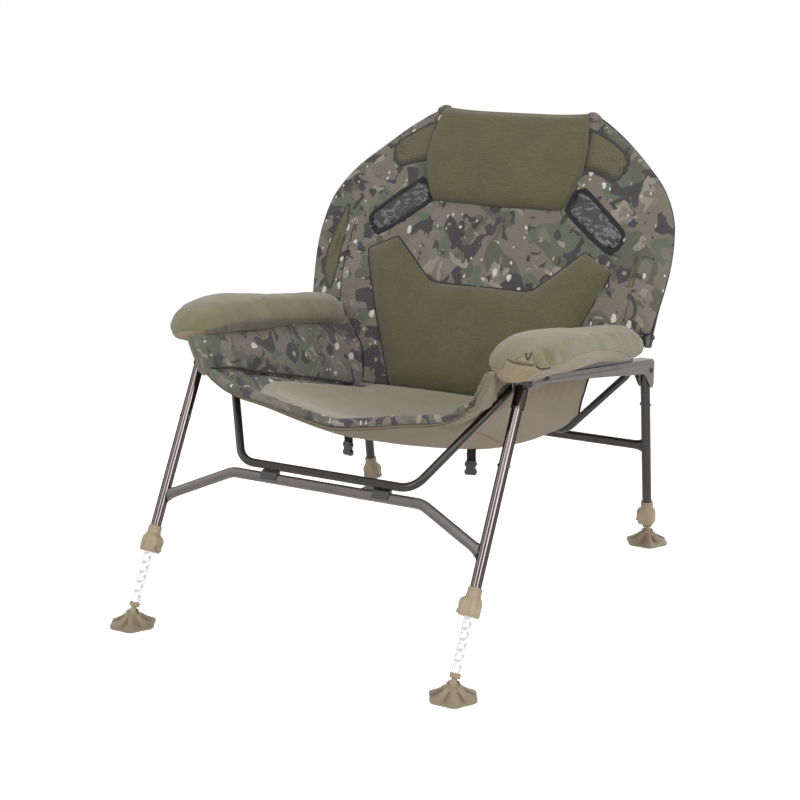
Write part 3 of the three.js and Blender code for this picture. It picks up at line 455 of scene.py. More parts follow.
class Look(Graph):
    """A material in the making, with its shader and its coordinates in metres."""

    def __init__(self, name, color, roughness=0.5, metallic=0.0):
        self.material = bpy.data.materials.new(name)
        super().__init__(self.material)
        self.main = self.nodes["Principled BSDF"]
        self.at = self.nodes.new("ShaderNodeTexCoord").outputs["Object"]
        self.set(("Base Color", color), ("Roughness", roughness), ("Metallic", metallic))

    def set(self, *inputs):
        for name, value in inputs:
            self.feed(self.main.inputs[name], value)

    def noise(self, scale, detail=2.0, twist=0.0, at=None):
        at = self.at if at is None else at
        inputs = {"Vector": at, "Scale": scale, "Detail": detail, "Distortion": twist}
        return self.node("ShaderNodeTexNoise", inputs, "Fac")

    def mapped(self, scale=(1, 1, 1), rotation=(0, 0, 0), move=(0, 0, 0)):
        inputs = {"Vector": self.at, "Scale": scale, "Rotation": rotation, "Location": move}
        return self.node("ShaderNodeMapping", inputs)

    def ramp(self, value, *stops):
        """Colours or grey levels read off a value, from (value, colour) stops."""
        node = self.nodes.new("ShaderNodeValToRGB")
        elements = node.color_ramp.elements
        while len(elements) < len(stops):
            elements.new(0.5)
        for element, (position, color) in zip(elements, stops):
            element.position = position
            element.color = (*color, 1) if isinstance(color, tuple) else (color, color, color, 1)
        self.links.new(value, node.inputs["Fac"])
        return node.outputs["Color"]

    def blend(self, factor, a, b, mode="MIX"):
        return self.node("ShaderNodeMix", {0: factor, 6: a, 7: b}, 2, data_type="RGBA", blend_type=mode)

    def times(self, a, b):
        return self.blend(1.0, a, b, "MULTIPLY")

    def bump(self, height, strength, distance):
        inputs = {"Strength": strength, "Distance": distance, "Height": height}
        self.set(("Normal", self.node("ShaderNodeBump", inputs)))

    def woven(self, threads, grain, folds, deep, strength, distance=0.0009):
        """Bumps of crossing threads, so many per metre, and of soft folds."""
        inputs = {"Vector": self.at, "Scale": threads, "Distortion": 0.6}
        waves = [self.node("ShaderNodeTexWave", inputs, "Fac", bands_direction=way) for way in ("X", "Y", "Z")]
        height = self.math(self.math(waves[0], waves[1]), waves[2])
        height = self.math(self.math(height, grain, "MULTIPLY"), self.math(folds, deep, "MULTIPLY"))
        self.bump(height, strength, distance)


def scaled(color, factor):
    return tuple(min(1, c * factor) for c in color)


def metal(name, color, roughness, coat=0.0, metallic=0.85, rim=1.0):
    look = Look(name, color, roughness, metallic)
    spots = look.ramp(look.noise(60, 4), (0.3, roughness * 0.8), (0.7, roughness * 1.25))
    look.set(("Roughness", spots), ("Coat Weight", coat), ("Coat Roughness", 0.12))
    look.set(("Specular Tint", (rim, rim, rim)))
    look.bump(look.noise(900), 0.03, 0.0002)
    return look.material


def plastic(name, color, roughness=0.5):
    look = Look(name, color, roughness)
    shade = look.ramp(look.noise(25, 4), (0.3, scaled(color, 0.86)), (0.7, scaled(color, 1.1)))
    look.set(("Base Color", shade))
    look.bump(look.noise(1400), 0.12, 0.0003)
    return look.material


def cloth(name, color, threads=700, roughness=0.9, sheen=0.25, mottled=0.12, grain=0.35, streaks=0.0):
    look = Look(name, color, roughness)
    dark, pale = scaled(color, 1 - mottled), scaled(color, 1 + mottled)
    shade = look.ramp(look.noise(14, 5, 0.3), (0.25, dark), (0.75, pale))
    shade = look.times(shade, look.ramp(look.noise(420), (0.3, 0.82), (0.7, 1.12)))
    if streaks:
        lines = look.noise(45, 3, at=look.mapped(scale=(1, 6, 14)))
        shade = look.times(shade, look.ramp(lines, (0.35, 1 - streaks), (0.65, 1 + streaks)))
    look.set(("Base Color", shade), ("Specular IOR Level", 0.2))
    look.set(("Sheen Weight", sheen), ("Sheen Roughness", 0.5))
    look.woven(threads, grain, look.noise(30, 4, 0.4), 3.0, 0.45)
    return look.material


CAMO_BASE = (0.150, 0.132, 0.105)
CAMO_LAYERS = (
    # colour, noise scale, distortion, threshold, movement
    ((0.092, 0.094, 0.068), 11, 0.8, 0.53, (3.1, 0.2, 1.7)),
    ((0.098, 0.114, 0.080), 15, 0.9, 0.585, (1.3, 5.2, 0.4)),
    ((0.170, 0.146, 0.128), 13, 1.0, 0.60, (7.7, 2.6, 3.9)),
    ((0.052, 0.047, 0.050), 14, 1.2, 0.565, (4.6, 8.1, 6.2)),
    ((0.235, 0.213, 0.170), 25, 0.7, 0.655, (9.4, 1.1, 2.5)),
    ((0.045, 0.041, 0.043), 34, 0.6, 0.64, (2.2, 6.4, 8.8)),
)
CAMO_FLECK = (0.50, 0.48, 0.43)
# Pale flecks: cells per metre, size in a cell, share of cells left out
CAMO_FLECKS = ((30, 0.20, 0.76), (80, 0.20, 0.86))
FLECK_WARP = 0.009
FLECK_MAP = {"scale": (1.25, 0.8, 0.75), "rotation": (0.3, 0.2, 0.5)}


def camouflage(name):
    """Blotches of earth colours with pale flecks, printed on woven cloth."""
    look = Look(name, CAMO_BASE, 0.88)
    color = CAMO_BASE
    for tone, size, twist, threshold, move in CAMO_LAYERS:
        blot = look.noise(size, 1.6, twist, look.mapped(move=move))
        color = look.blend(look.ramp(blot, (threshold, 0), (threshold + 0.012, 1)), color, tone)
    warp = look.node("ShaderNodeTexNoise", {"Vector": look.at, "Scale": 70}, "Color")
    inputs = {0: warp, 1: (FLECK_WARP,) * 3, 2: look.mapped(**FLECK_MAP)}
    wander = look.node("ShaderNodeVectorMath", inputs, operation="MULTIPLY_ADD")
    for per_metre, size, left_out in CAMO_FLECKS:
        cells = look.nodes.new("ShaderNodeTexVoronoi")
        look.feed(cells.inputs["Scale"], per_metre)
        look.feed(cells.inputs["Vector"], wander)
        near = look.ramp(cells.outputs["Distance"], (size, 1), (size + 0.03, 0))
        chance = look.node("ShaderNodeSeparateColor", {"Color": cells.outputs["Color"]}, "Red")
        chosen = look.ramp(chance, (left_out, 0), (left_out + 0.01, 1))
        color = look.blend(look.times(near, chosen), color, CAMO_FLECK)
    grain = look.ramp(look.noise(500), (0.3, 0.85), (0.7, 1.1))
    look.set(("Base Color", look.times(color, grain)), ("Sheen Weight", 0.15), ("Specular IOR Level", 0.25))
    look.woven(800, 0.3, look.noise(26, 5, 0.6), 4.0, 0.5, 0.001)
    return look.material


def netting(name, color, holes_per_metre, gloss=0.6, relief=0.6, painted_glints=False):
    """Knitted mesh on the back's plane: rows of small holes, over a dark ground. Where asked, pale streaks of
    painted glints (painted reflection) are added to its colour.
    """
    look = Look(name, color, gloss)
    flat = look.mapped(rotation=(-BACK_LEAN - math.pi / 2, 0, 0))
    inputs = {"Vector": flat, "Scale": holes_per_metre, "Randomness": 0.12}
    holes = look.node("ShaderNodeTexVoronoi", inputs, "Distance", voronoi_dimensions="2D")
    shade = look.ramp(holes, (0.24, scaled(color, 0.3)), (0.42, color))
    if painted_glints:
        # painted glints: pale wavy streaks of reflection, added into the net's colour
        creases = look.noise(30, 2, 3.2, look.mapped(scale=(0.6, 1.6, 1)))
        painted_shine = look.ramp(creases, (0.52, 0), (0.60, (0.13, 0.13, 0.135)), (0.66, 0))
        shade = look.blend(1.0, shade, painted_shine, "ADD")
    look.set(("Base Color", shade))
    look.bump(holes, relief, 0.001)
    return look.material


def two_cloths(name, upper, lower):
    """Suede above and plain cloth below the border that the mesh carries as an attribute."""
    look = Look(name, upper, 0.95)
    border = look.node("ShaderNodeAttribute", {}, "Fac", attribute_name="border")
    shade = look.blend(look.ramp(border, (0.49, 0), (0.51, 1)), lower, upper)
    shade = look.times(shade, look.ramp(border, (0.44, 1), (0.475, 0.58), (0.515, 0.58), (0.55, 1)))
    shade = look.times(shade, look.ramp(look.noise(14, 5, 0.3), (0.25, 0.86), (0.75, 1.12)))
    shade = look.times(shade, look.ramp(look.noise(420), (0.3, 0.84), (0.7, 1.1)))
    look.set(("Base Color", shade), ("Sheen Weight", 0.3), ("Specular IOR Level", 0.2))
    look.woven(800, 0.2, look.noise(30, 4, 0.4), 3.0, 0.5)
    return look.material


SUEDE_COLOR = (0.152, 0.139, 0.076)
TAN_COLOR = (0.212, 0.166, 0.104)

GUNMETAL = metal("Gunmetal tube", (0.090, 0.077, 0.074), 0.11, 0.0, 1.0, 0.15)
DARK_FRAME = metal("Dark frame", (0.041, 0.037, 0.035), 0.3, 0.1)
RAIL = metal("Rail metal", (0.150, 0.136, 0.128), 0.34, 0.1, 0.8, 0.7)
CROSSBAR = metal("Crossbar metal", (0.115, 0.105, 0.102), 0.3, 0.1, 0.85, 0.6)
BRIGHT = metal("Bright post", (0.66, 0.66, 0.67), 0.16, 0.0, 1.0, 0.4)
RIVET = metal("Rivet", (0.12, 0.11, 0.11), 0.25, 0.2)
TAN_PLASTIC = plastic("Tan plastic", (0.250, 0.194, 0.124), 0.52)
FOOT_PLASTIC = plastic("Foot plastic", (0.180, 0.140, 0.088), 0.5)
BLACK_PLASTIC = plastic("Black plastic", (0.017, 0.016, 0.016), 0.38)
CAMO = camouflage("Printed cloth")
OLIVE = cloth("Olive twill", (0.090, 0.085, 0.042), 650, 0.92, 0.2, 0.08, streaks=0.08)
ARM_CLOTH = two_cloths("Arm cloth", SUEDE_COLOR, TAN_COLOR)
TAN = cloth("Tan cloth", TAN_COLOR, 800, 0.93, 0.15, 0.07)
TAN_EDGE = cloth("Tan edge", (0.155, 0.128, 0.088), 700, 0.93, 0.12, 0.07)
TAN_SEAM = cloth("Tan seam", (0.072, 0.067, 0.053), 800, 0.93, 0.05, 0.07)
PIPING = cloth("Dark piping", (0.028, 0.026, 0.022), 900, 0.85, 0.1)
BINDING = cloth("Black binding", (0.016, 0.016, 0.018), 900, 0.8, 0.1)
WEBBING = cloth("Webbing", (0.013, 0.013, 0.013), 500, 0.8, 0.1)
OLIVE_NET = netting("Olive net", (0.094, 0.089, 0.045), 250, 0.75)
# The black net carries painted glints: pale streaks of reflection in its colour
BLACK_NET = netting("Black net", (0.010, 0.009, 0.009), 330, 0.35, 0.8, True)
GREY_EDGE = cloth("Grey edging", (0.045, 0.045, 0.042), 900, 0.85, 0.1)
SEAT_CLOTH = cloth("Cushion cloth", (0.236, 0.220, 0.146), 900, 0.95, 0.3, 0.06, 0.2)

# Camera: seen a little from above, from the sitter's left front
CAMERA_AT = (1.585, -2.900 + SHIFT * MM, 1.25)
CAMERA_AZIMUTH = math.radians(28.96)
CAMERA_DOWN = math.radians(14.77)
CAMERA_LENS = 77.4
CAMERA_SENSOR = 36


def camera():
    data = bpy.data.cameras.new("Camera")
    data.lens = CAMERA_LENS
    data.sensor_width = CAMERA_SENSOR
    obj = bpy.data.objects.new("Camera", data)
    bpy.context.scene.collection.objects.link(obj)
    obj.location = CAMERA_AT
    obj.rotation_euler = (math.pi / 2 - CAMERA_DOWN, 0, CAMERA_AZIMUTH)
    bpy.context.scene.camera = obj


camera()


# The metal frame

PIVOTS = {"front": (FRONT_PIVOT, FRONT_LEAN), "rear": (REAR_PIVOT, REAR_LEAN)}
# How far the inner legs are drawn out, and how far below its pivot each leg has its cross pin
EXTENSION = {"front": 99.3, "rear": 0.3}
PIN_DROP = {"front": 151, "rear": 79}
# The outer tube stops this far above its collar's bottom
TUBE_STOP = 17
TUBE_WALL = 1.2
TUBE_EDGE = 0.5


def leg_plan(end):
    """Places down a leg, as drops below its pivot."""
    (pivot_y, pivot_z), lean = PIVOTS[end]
    ball = (pivot_z - BALL_HEIGHT) / math.cos(lean)
    flange = ball - FLANGE_ABOVE_BALL
    bottom = flange - EXTENSION[end]
    return {"ball": ball, "flange": flange, "collar_top": bottom - COLLAR_LENGTH,
            "tube_end": bottom - TUBE_STOP}


PLANS = {end: leg_plan(end) for end in PIVOTS}


def outer_tube(name, low, high, material, matrix):
    radius, inner, edge = LEG_RADIUS, LEG_RADIUS - TUBE_WALL, TUBE_EDGE
    return lathe(name, [
        (inner, low + edge), (inner + edge, low), (radius - edge, low), (radius, low + edge),
        (radius, high - edge), (radius - edge, high), (inner + edge, high), (inner, high - edge),
        (inner, low + edge)], material, matrix, 48)


def rivet(name, half_span, radius, height, matrix):
    """A pin along X with a domed head at each end."""
    steps = 5
    profile = []
    for angle in spread(0, math.pi / 2, steps + 1):
        profile.append((radius * math.sin(angle), -half_span - height * math.cos(angle)))
    neck, rise = radius * 0.55, 0.4
    profile += [(neck, -half_span + rise), (neck, half_span - rise)]
    profile += [(r, -z) for r, z in reversed(profile[:steps + 1])]
    return lathe(name, profile, RIVET, matrix @ TO_X, 28)


BOLT_HEAD, BOLT_TALL, BOLT_SHANK, BOLT_RIM = 6, 3, 3, 0.6


def bolt(name, low, high, y, z, side):
    """A bolt along X with a round head at each end, and a socket in its outer one."""
    head, tall, shank, rim = BOLT_HEAD, BOLT_TALL, BOLT_SHANK, BOLT_RIM
    profile = [(0, low - tall), (head * 0.6, low - tall), (head * 0.92, low - tall * 0.6), (head, low - rim),
               (head, low), (shank, low), (shank, high), (head, high), (head, high + rim),
               (head * 0.92, high + tall * 0.6), (head * 0.66, high + tall), (head * 0.45, high + tall),
               (head * 0.42, high + tall * 0.35), (0, high + tall * 0.35)]
    return lathe(name, profile, BLACK_PLASTIC, place(y, z) @ Matrix.Scale(side, 4, (1, 0, 0)) @ TO_X)


COLLAR_ROWS = [  # below the top, half across, half deep, squareness, how far inboard
    (0.0, 11.6, 11.6, 2, 0), (-1.2, 12.6, 12.6, 2, 0), (-13, 13.2, 13.2, 2, 0),
    (-16, 13.6, 13.6, 2.2, 0.2), (-20, 16.0, 15.5, 3, 1.2), (-25, 18.0, 16.8, 4.2, 2.2),
    (-31, 18.2, 16.8, 5, 2.4), (-42, 17.2, 16.4, 5, 1.6), (-49, 16.6, 16.0, 5, 1.0),
    (-50.4, 16.1, 15.5, 4.5, 1.0), (-COLLAR_LENGTH, 15.2, 14.7, 4, 1.0)]
COLLAR_RIB = [(14.6, -19), (17.6, -25), (17.2, -48), (15, -49)]
COLLAR_RIB_WIDTH, COLLAR_RIB_X, COLLAR_RIB_EDGE = 1.6, 5, 0.4
COLLAR_LIP = [(12.7, -3.2), (13.35, -3.6), (13.4, -5.2), (12.8, -5.6)]
LEVER_OUTLINE = [
    (19.0, -20), (20.8, -21.5), (21.6, -26), (21.0, -33), (21.3, -38), (23.6, -44), (24.2, -46.8),
    (22.9, -47.6), (20.8, -46.2), (19.2, -41), (18.2, -34), (17.6, -27), (17.8, -21)]
LEVER_WIDTH, LEVER_EDGE = 13.4, 0.7


def collar(end, word, side, matrix):
    """A moulded collar: round neck, flared and squared body, a lip, and ribs on its front and rear."""
    top = -PLANS[end]["collar_top"]
    rings = [squircle(half_x, half_y, top + down, power, 56, -side * inboard)
             for down, half_x, half_y, power, inboard in COLLAR_ROWS]
    parts = [loft("body", rings, TAN_PLASTIC, matrix)]
    for ahead in (-1, 1):
        outline = [(ahead * y, top + z) for y, z in COLLAR_RIB]
        parts.append(prism("rib", outline, COLLAR_RIB_WIDTH, side * COLLAR_RIB_X, TAN_PLASTIC, matrix,
                           COLLAR_RIB_EDGE))
    parts.append(lathe("lip", [(r, top + z) for r, z in COLLAR_LIP], TAN_PLASTIC, matrix, 48))
    name = f"{end}_collar_{word}"
    piece(join(name, *parts), f"{end}_leg_frame", name)


def lever(end, word, side, matrix):
    """The thumb lever on the collar's inner face: a curved flap with a ribbed end."""
    top = -PLANS[end]["collar_top"]
    outline = [(-side * x, top + z) for x, z in LEVER_OUTLINE]
    name = f"{end}_lever_{word}"
    turned = matrix @ TO_Y @ Matrix.Scale(-1, 4, (0, 1, 0))
    piece(prism(name, outline, LEVER_WIDTH, 0, TAN_PLASTIC, turned, LEVER_EDGE), f"{end}_{word}_lever", name)


POST_LENGTH, POST_WALL, POST_GAP = 255, 2, 0.3
NOTCHES, NOTCH_START, NOTCH_PITCH, NOTCH_DEPTH = 11, 12, 19, 1.1
NOTCH = [(0, 0), (1.2, 0.7), (3, 1), (4.8, 0.7), (6, 0)]  # up, share of the depth


def inner_leg(end, word, matrix):
    """The sliding post, with ring notches."""
    base = -PLANS[end]["flange"] + POST_GAP
    radius, inner = INNER_RADIUS, INNER_RADIUS - POST_WALL
    profile = [(inner, base + 0.4), (radius, base)]
    for i in range(NOTCHES):
        low = base + NOTCH_START + i * NOTCH_PITCH
        profile += [(radius - NOTCH_DEPTH * share, low + up) for up, share in NOTCH]
    high = base + POST_LENGTH
    profile += [(radius, high), (radius - 1, high + 1), (inner, high), (inner, base + 0.4)]
    post = lathe(f"{end}_inner_leg_{word}", profile, BRIGHT, matrix, 40)
    piece(post, f"{end}_{word}_inner_leg", f"{end}_inner_leg_{word}")


BALL_RADIUS, STEM_RADIUS, FLANGE_RADIUS = 8, 5.2, 10
# The flange with the groove round its rim: past the flange's radius, below its top
FLANGE_ROWS = [(-0.8, -8.5), (0, -7.8), (0, -5.2), (-0.7, -4.6), (-0.7, -4.0), (0, -3.4), (0, -0.8), (-0.8, 0)]


def ball_stem(end, word, matrix):
    base = -PLANS[end]["ball"]
    top = base + FLANGE_ABOVE_BALL
    ball = BALL_RADIUS
    profile = [(0, base - ball)]
    for angle in spread(-math.pi / 2, math.acos(STEM_RADIUS / ball), 13)[1:]:
        profile.append((ball * math.cos(angle), base + ball * math.sin(angle)))
    profile += [(STEM_RADIUS, top - 9.4), (STEM_RADIUS + 1.2, top - 8.7)]
    profile += [(FLANGE_RADIUS + out, top + z) for out, z in FLANGE_ROWS] + [(0, top)]
    stem = lathe(f"{end}_ball_stem_{word}", profile, TAN_PLASTIC, matrix, 40)
    piece(stem, f"{end}_{word}_stem", f"{end}_ball_stem_{word}")


FOOT_LOBES, FOOT_RADIUS, FOOT_DIP = 6, 45.8, 5.0
FOOT_HUB, FOOT_WALL, FOOT_RIM = 9.5, 2.6, 2.8
FOOT_FALL = [(0, 24.8), (0.16, 21.8), (0.34, 15.8), (0.6, 9.8), (0.85, 6.0), (1, 4.2)]
FOOT_SHARES = [0, 0.05, 0.12, 0.2, 0.3, 0.4, 0.5, 0.6, 0.7, 0.8, 0.88, 0.94, 0.98, 1]
FOOT_EDGE = [(2.6, 0.1), (0.6, 0.4), (0.0, 1.2), (0.0, 2.4)]  # height, how far inside the rim
CHEEK_SECTION = [(12.4, 2), (13.2, 10), (13.0, 22), (12.4, 27.6), (11.4, 29.2), (9.4, 29.2), (8.6, 28.0),
                 (8.9, 26), (8.9, 14), (8.9, 2)]
CHEEK_GAP = 0.22
BOSS_PROFILE = [(0, -4), (3.6, -4), (3.6, 1.4), (3.0, 2), (2.0, 2), (1.8, 0.2), (0, 0.2)]
BOSS_RADIUS, BOSS_ANGLE, BOSS_HEIGHT, BOSS_LEAN = 17.5, -1.05, 12.5, 0.5
FOOT_RIB = [(13, 21.4), (20, 18.2), (30, 12.8), (38, 8.6), (38, 7.2), (13, 14)]
FOOT_RIB_WIDTH, FOOT_RIB_EDGE = 1.4, 0.4


def foot_rim(angle):
    return FOOT_RADIUS - FOOT_DIP * (0.5 - 0.5 * math.cos(FOOT_LOBES * angle)) ** 0.8


def foot_height(share, angle):
    ridge = 1.9 * math.cos(FOOT_LOBES * angle) * math.sin(math.pi * min(1, share * 1.05)) ** 0.8
    return table(FOOT_FALL, share) + ridge


def foot_ring(share, inset, height):
    """A ring of the skirt, at that share of the way from the hub to just inside the rim."""
    ring = []
    for a in angles(96):
        reach = FOOT_HUB + (foot_rim(a) - inset - FOOT_HUB) * share
        ring.append((reach * math.cos(a), reach * math.sin(a), height(a)))
    return ring


def foot(end, word, side):
    """A lobed mud foot: a dished skirt that hangs from a split hub."""
    pivot, lean = PIVOTS[end]
    matrix = place(pivot[0] + PLANS[end]["ball"] * math.sin(lean), 0) @ sideways(side * LEG_X)
    rings = [foot_ring(share, 0, lambda a: foot_height(share, a)) for share in FOOT_SHARES]
    rings += [foot_ring(1, inset, lambda a: low) for low, inset in FOOT_EDGE]
    rings += [foot_ring(share, FOOT_RIM, lambda a: max(0.2, foot_height(share, a) - FOOT_WALL))
              for share in reversed(FOOT_SHARES[:-1])]
    name = f"{end}_foot_{word}"
    parts = [loft(name, rings, FOOT_PLASTIC, matrix, closed=True)]
    # the hub is two cheeks that clasp the ball, with a slot between them
    for start in (0, math.pi):
        cheek = [[(r * math.cos(a), r * math.sin(a), z) for r, z in CHEEK_SECTION]
                 for a in spread(start + CHEEK_GAP, start + math.pi - CHEEK_GAP, 15)]
        parts.append(loft("cheek", cheek, FOOT_PLASTIC, matrix))
    # a little screw boss beside the hub
    boss_x, boss_y = BOSS_RADIUS * math.cos(BOSS_ANGLE), BOSS_RADIUS * math.sin(BOSS_ANGLE)
    boss_at = Matrix.Translation((boss_x, boss_y, BOSS_HEIGHT)) @ Matrix.Rotation(BOSS_LEAN, 4, "Y")
    parts.append(lathe("boss", BOSS_PROFILE, FOOT_PLASTIC, matrix @ boss_at, 20))
    for angle in angles(FOOT_LOBES):
        rib_at = matrix @ Matrix.Rotation(angle, 4, "Z")
        parts.append(prism("rib", FOOT_RIB, FOOT_RIB_WIDTH, 0, FOOT_PLASTIC, rib_at, FOOT_RIB_EDGE))
    piece(join(name, *parts), f"{end}_{word}_foot", name)


# Each crossbar's bends, from end to end
FRONT_BAR = [(-335, 0, -308), (-204, 0, -243), (204, 0, -243), (335, 0, -308)]
REAR_BAR = [(-334, 0, -174), (334, 0, -174)]
FRONT_BAR_BEND = 46
BAR_WIDTH, BAR_HEIGHT = 11, 20
FLARE_LENGTH, FLARE_SHARE = 18, 0.42


def crossbar(name, path, body, matrix, material):
    """A flat oval bar, flared where it is welded to the legs."""
    path = refined(path)
    rings = []
    for p, along in zip(path, directions(path)):
        gap = min((p - path[0]).length, (p - path[-1]).length)
        swell = 1 + FLARE_SHARE * max(0.0, 1 - gap / FLARE_LENGTH) ** 2
        lift = lift_over(along) * swell
        rings.append([p + Vector((0, a, 0)) + lift * b for a, b in oval(BAR_WIDTH, BAR_HEIGHT)])
    piece(loft(name, rings, material, matrix), body, name)


SLEEVE_ROWS = [  # radius, above the sleeve's lower end
    (10.2, 0.4), (10.6, 0), (11.7, 0), (12.15, 0.5), (12.15, 2.4), (11.9, 3),
    (11.9, SLEEVE_LENGTH + LEG_TOP - 0.8), (11.4, SLEEVE_LENGTH + LEG_TOP), (10.6, SLEEVE_LENGTH + LEG_TOP),
    (10.2, SLEEVE_LENGTH + LEG_TOP - 0.4), (10.2, 0.4)]
SLEEVE_PAST_TUBE = 1.5
PIN_HEAD, PIN_DOME = 3.5, 3.2


def leg_frame(end, matrix):
    body = f"{end}_leg_frame"
    for word, side in SIDES:
        leg = matrix @ sideways(side * LEG_X)
        front = end == "front"
        top, material = (LEG_TOP - SLEEVE_PAST_TUBE, GUNMETAL) if front else (LEG_TOP, DARK_FRAME)
        name = f"{end}_leg_{word}"
        piece(outer_tube(name, -PLANS[end]["tube_end"], top, material, leg), body, name)
        name = f"{end}_leg_pin_{word}"
        pin_at = leg @ Matrix.Translation((0, 0, -PIN_DROP[end]))
        piece(rivet(name, LEG_RADIUS, PIN_HEAD, PIN_DOME, pin_at), body, name)
        collar(end, word, side, leg)
        lever(end, word, side, leg)
        inner_leg(end, word, leg)
        ball_stem(end, word, leg)
        foot(end, word, side)
        if front:
            name = f"front_leg_sleeve_{word}"
            profile = [(r, z - SLEEVE_LENGTH) for r, z in SLEEVE_ROWS]
            piece(lathe(name, profile, GUNMETAL, leg, 48), body, name)


leg_frame("front", FRONT)
leg_frame("rear", REAR)
crossbar("front_crossbar", rounded(FRONT_BAR, FRONT_BAR_BEND, 10), "front_leg_frame", FRONT, CROSSBAR)
crossbar("rear_crossbar", [Vector(p) for p in REAR_BAR], "rear_leg_frame", REAR, DARK_FRAME)

# How far below its pivot each leg has its weld, and the bead's size
WELD_DROP = {"front": 310, "rear": 174}
WELD_TALL, WELD_WIDE, WELD_RADIUS = 13.6, 5.8, 1.5


def weld_bead(end, word, side, matrix):
    """A bead of weld round the leg where the crossbar meets it."""
    path = []
    for angle in angles(24):
        ahead = WELD_WIDE * math.cos(angle)
        depth = math.sqrt(LEG_RADIUS ** 2 - ahead ** 2)
        path.append((side * (LEG_X - depth), ahead, WELD_TALL * math.sin(angle) - WELD_DROP[end]))
    bead = sweep(f"{end}_weld_{word}", path, circle(WELD_RADIUS, 8), DARK_FRAME, matrix, up=None, closed=True)
    piece(bead, f"{end}_leg_frame")


def welds():
    for word, side in SIDES:
        weld_bead("front", word, side, FRONT)
        weld_bead("rear", word, side, REAR)


welds()

TUBE_X = 320.7
TUBE_RADIUS = 8
TUBE_BENDS = (24, 46, 46, 24)
FRONT_TUBE_HIGH, FRONT_TUBE_LOW = (TUBE_X, -150, 498.5), (184, -321, 311)
# Half of each seat tube, from its end on the rail down to the bend under the seat
SEAT_TUBES = {
    "front_seat_tube": [(TUBE_X, -124, 495.0), FRONT_TUBE_HIGH, FRONT_TUBE_LOW],
    "rear_seat_tube": [(TUBE_X, 357, 414), (TUBE_X, 360, 391), (175, 385, 246)],
}


def seat_tube(name, half):
    """A round tube through its corners, each with its own bend."""
    points = [Vector((-x, y, z)) for x, y, z in half] + [Vector(p) for p in reversed(half)]
    path = [points[0]]
    for before, corner, after, radius in zip(points, points[1:], points[2:], TUBE_BENDS):
        bend = rounded([before.lerp(corner, 0.02), corner, after.lerp(corner, 0.02)], radius, 10)
        path += bend[1:-1]
    path.append(points[-1])
    tube = sweep(name, refined(path, 12), circle(TUBE_RADIUS, 28), DARK_FRAME, up=None)
    piece(tube, "seat_frame", name)


for tube_name, tube_half in SEAT_TUBES.items():
    seat_tube(tube_name, tube_half)

RAIL_FRONT, RAIL_REAR = -222, 418
RAIL_HIGH, RAIL_LOW = 515, 417
# The outer flange starts here and swells to its full depth over the next stretch
RAIL_OUTER_FRONT, RAIL_OUTER_SWELL = -191, 12
RAIL_HALF, RAIL_WALL = 14, 2
WEB_FRONT, WEB_REAR, WEB_SINK = -172, 414, 0.2
# The pressed groove along the outer flange: from and to, below the top, half its height, depth
GROOVE_FROM, GROOVE_TO, GROOVE_HALF, GROOVE_DEPTH = -185, 400, 1.6, 0.9
RAIL_DEPTH = [(-222, 12), (-218, 22), (-212, 25.5), (-205, 26), (-190, 24.6), (-150, 18.4), (-120, 15),
              (-60, 16.2), (60, 19.4), (200, 24), (300, 28), (345, 29)]
RAIL_STATIONS = [-221.5, -219, -215, -210, -205, -198, -190, -180, -172] + [-160 + 12 * k for k in range(42)]
RAIL_STATIONS += [340, 345]
RAIL_EARS = [(350, 29), (360, 29.6), (366, 31), (372, 33.5), (378, 38), (384, 43.5), (390, 49.5), (396, 55),
             (402, 59.6), (406, 61.6), (412, 62), (415.5, 60), (417.4, 56), (418, 50)]
RAIL_RIVET = (212, 443.5)
RAIL_RIVET_HEAD, RAIL_RIVET_DOME = 3.2, 1.8


def rail_top(y):
    return mix(RAIL_HIGH, RAIL_LOW, (y - RAIL_FRONT) / (RAIL_REAR - RAIL_FRONT))


def flange_ring(y, depth, inner, outer):
    """The section of a rail's flange between its inner and outer face; the outer flange has the groove."""
    grooved = outer > 0
    if grooved:
        depth *= mix(0.5, 1.0, smooth((y - RAIL_OUTER_FRONT) / RAIL_OUTER_SWELL))
    top = rail_top(y)
    rise = 0 if y < 409 else 7.5 * ((y - 409) / 9) ** 2.2
    lip, low = top - rise, top - depth
    inset = GROOVE_DEPTH if grooved and GROOVE_FROM < y < GROOVE_TO else 0.0
    middle = top - (8.6 if y > -120 else 8.2)
    ring = [(inner, low), (outer - 0.4, low), (outer, low + 0.5), (outer, middle - GROOVE_HALF),
            (outer - inset, middle - GROOVE_HALF / 2), (outer - inset, middle + GROOVE_HALF / 2),
            (outer, middle + GROOVE_HALF), (outer, lip - 1.0), (outer - 0.5, lip), (inner, lip)]
    return [(max(min(x, RAIL_HALF), -RAIL_HALF), max(z, low)) for x, z in ring]


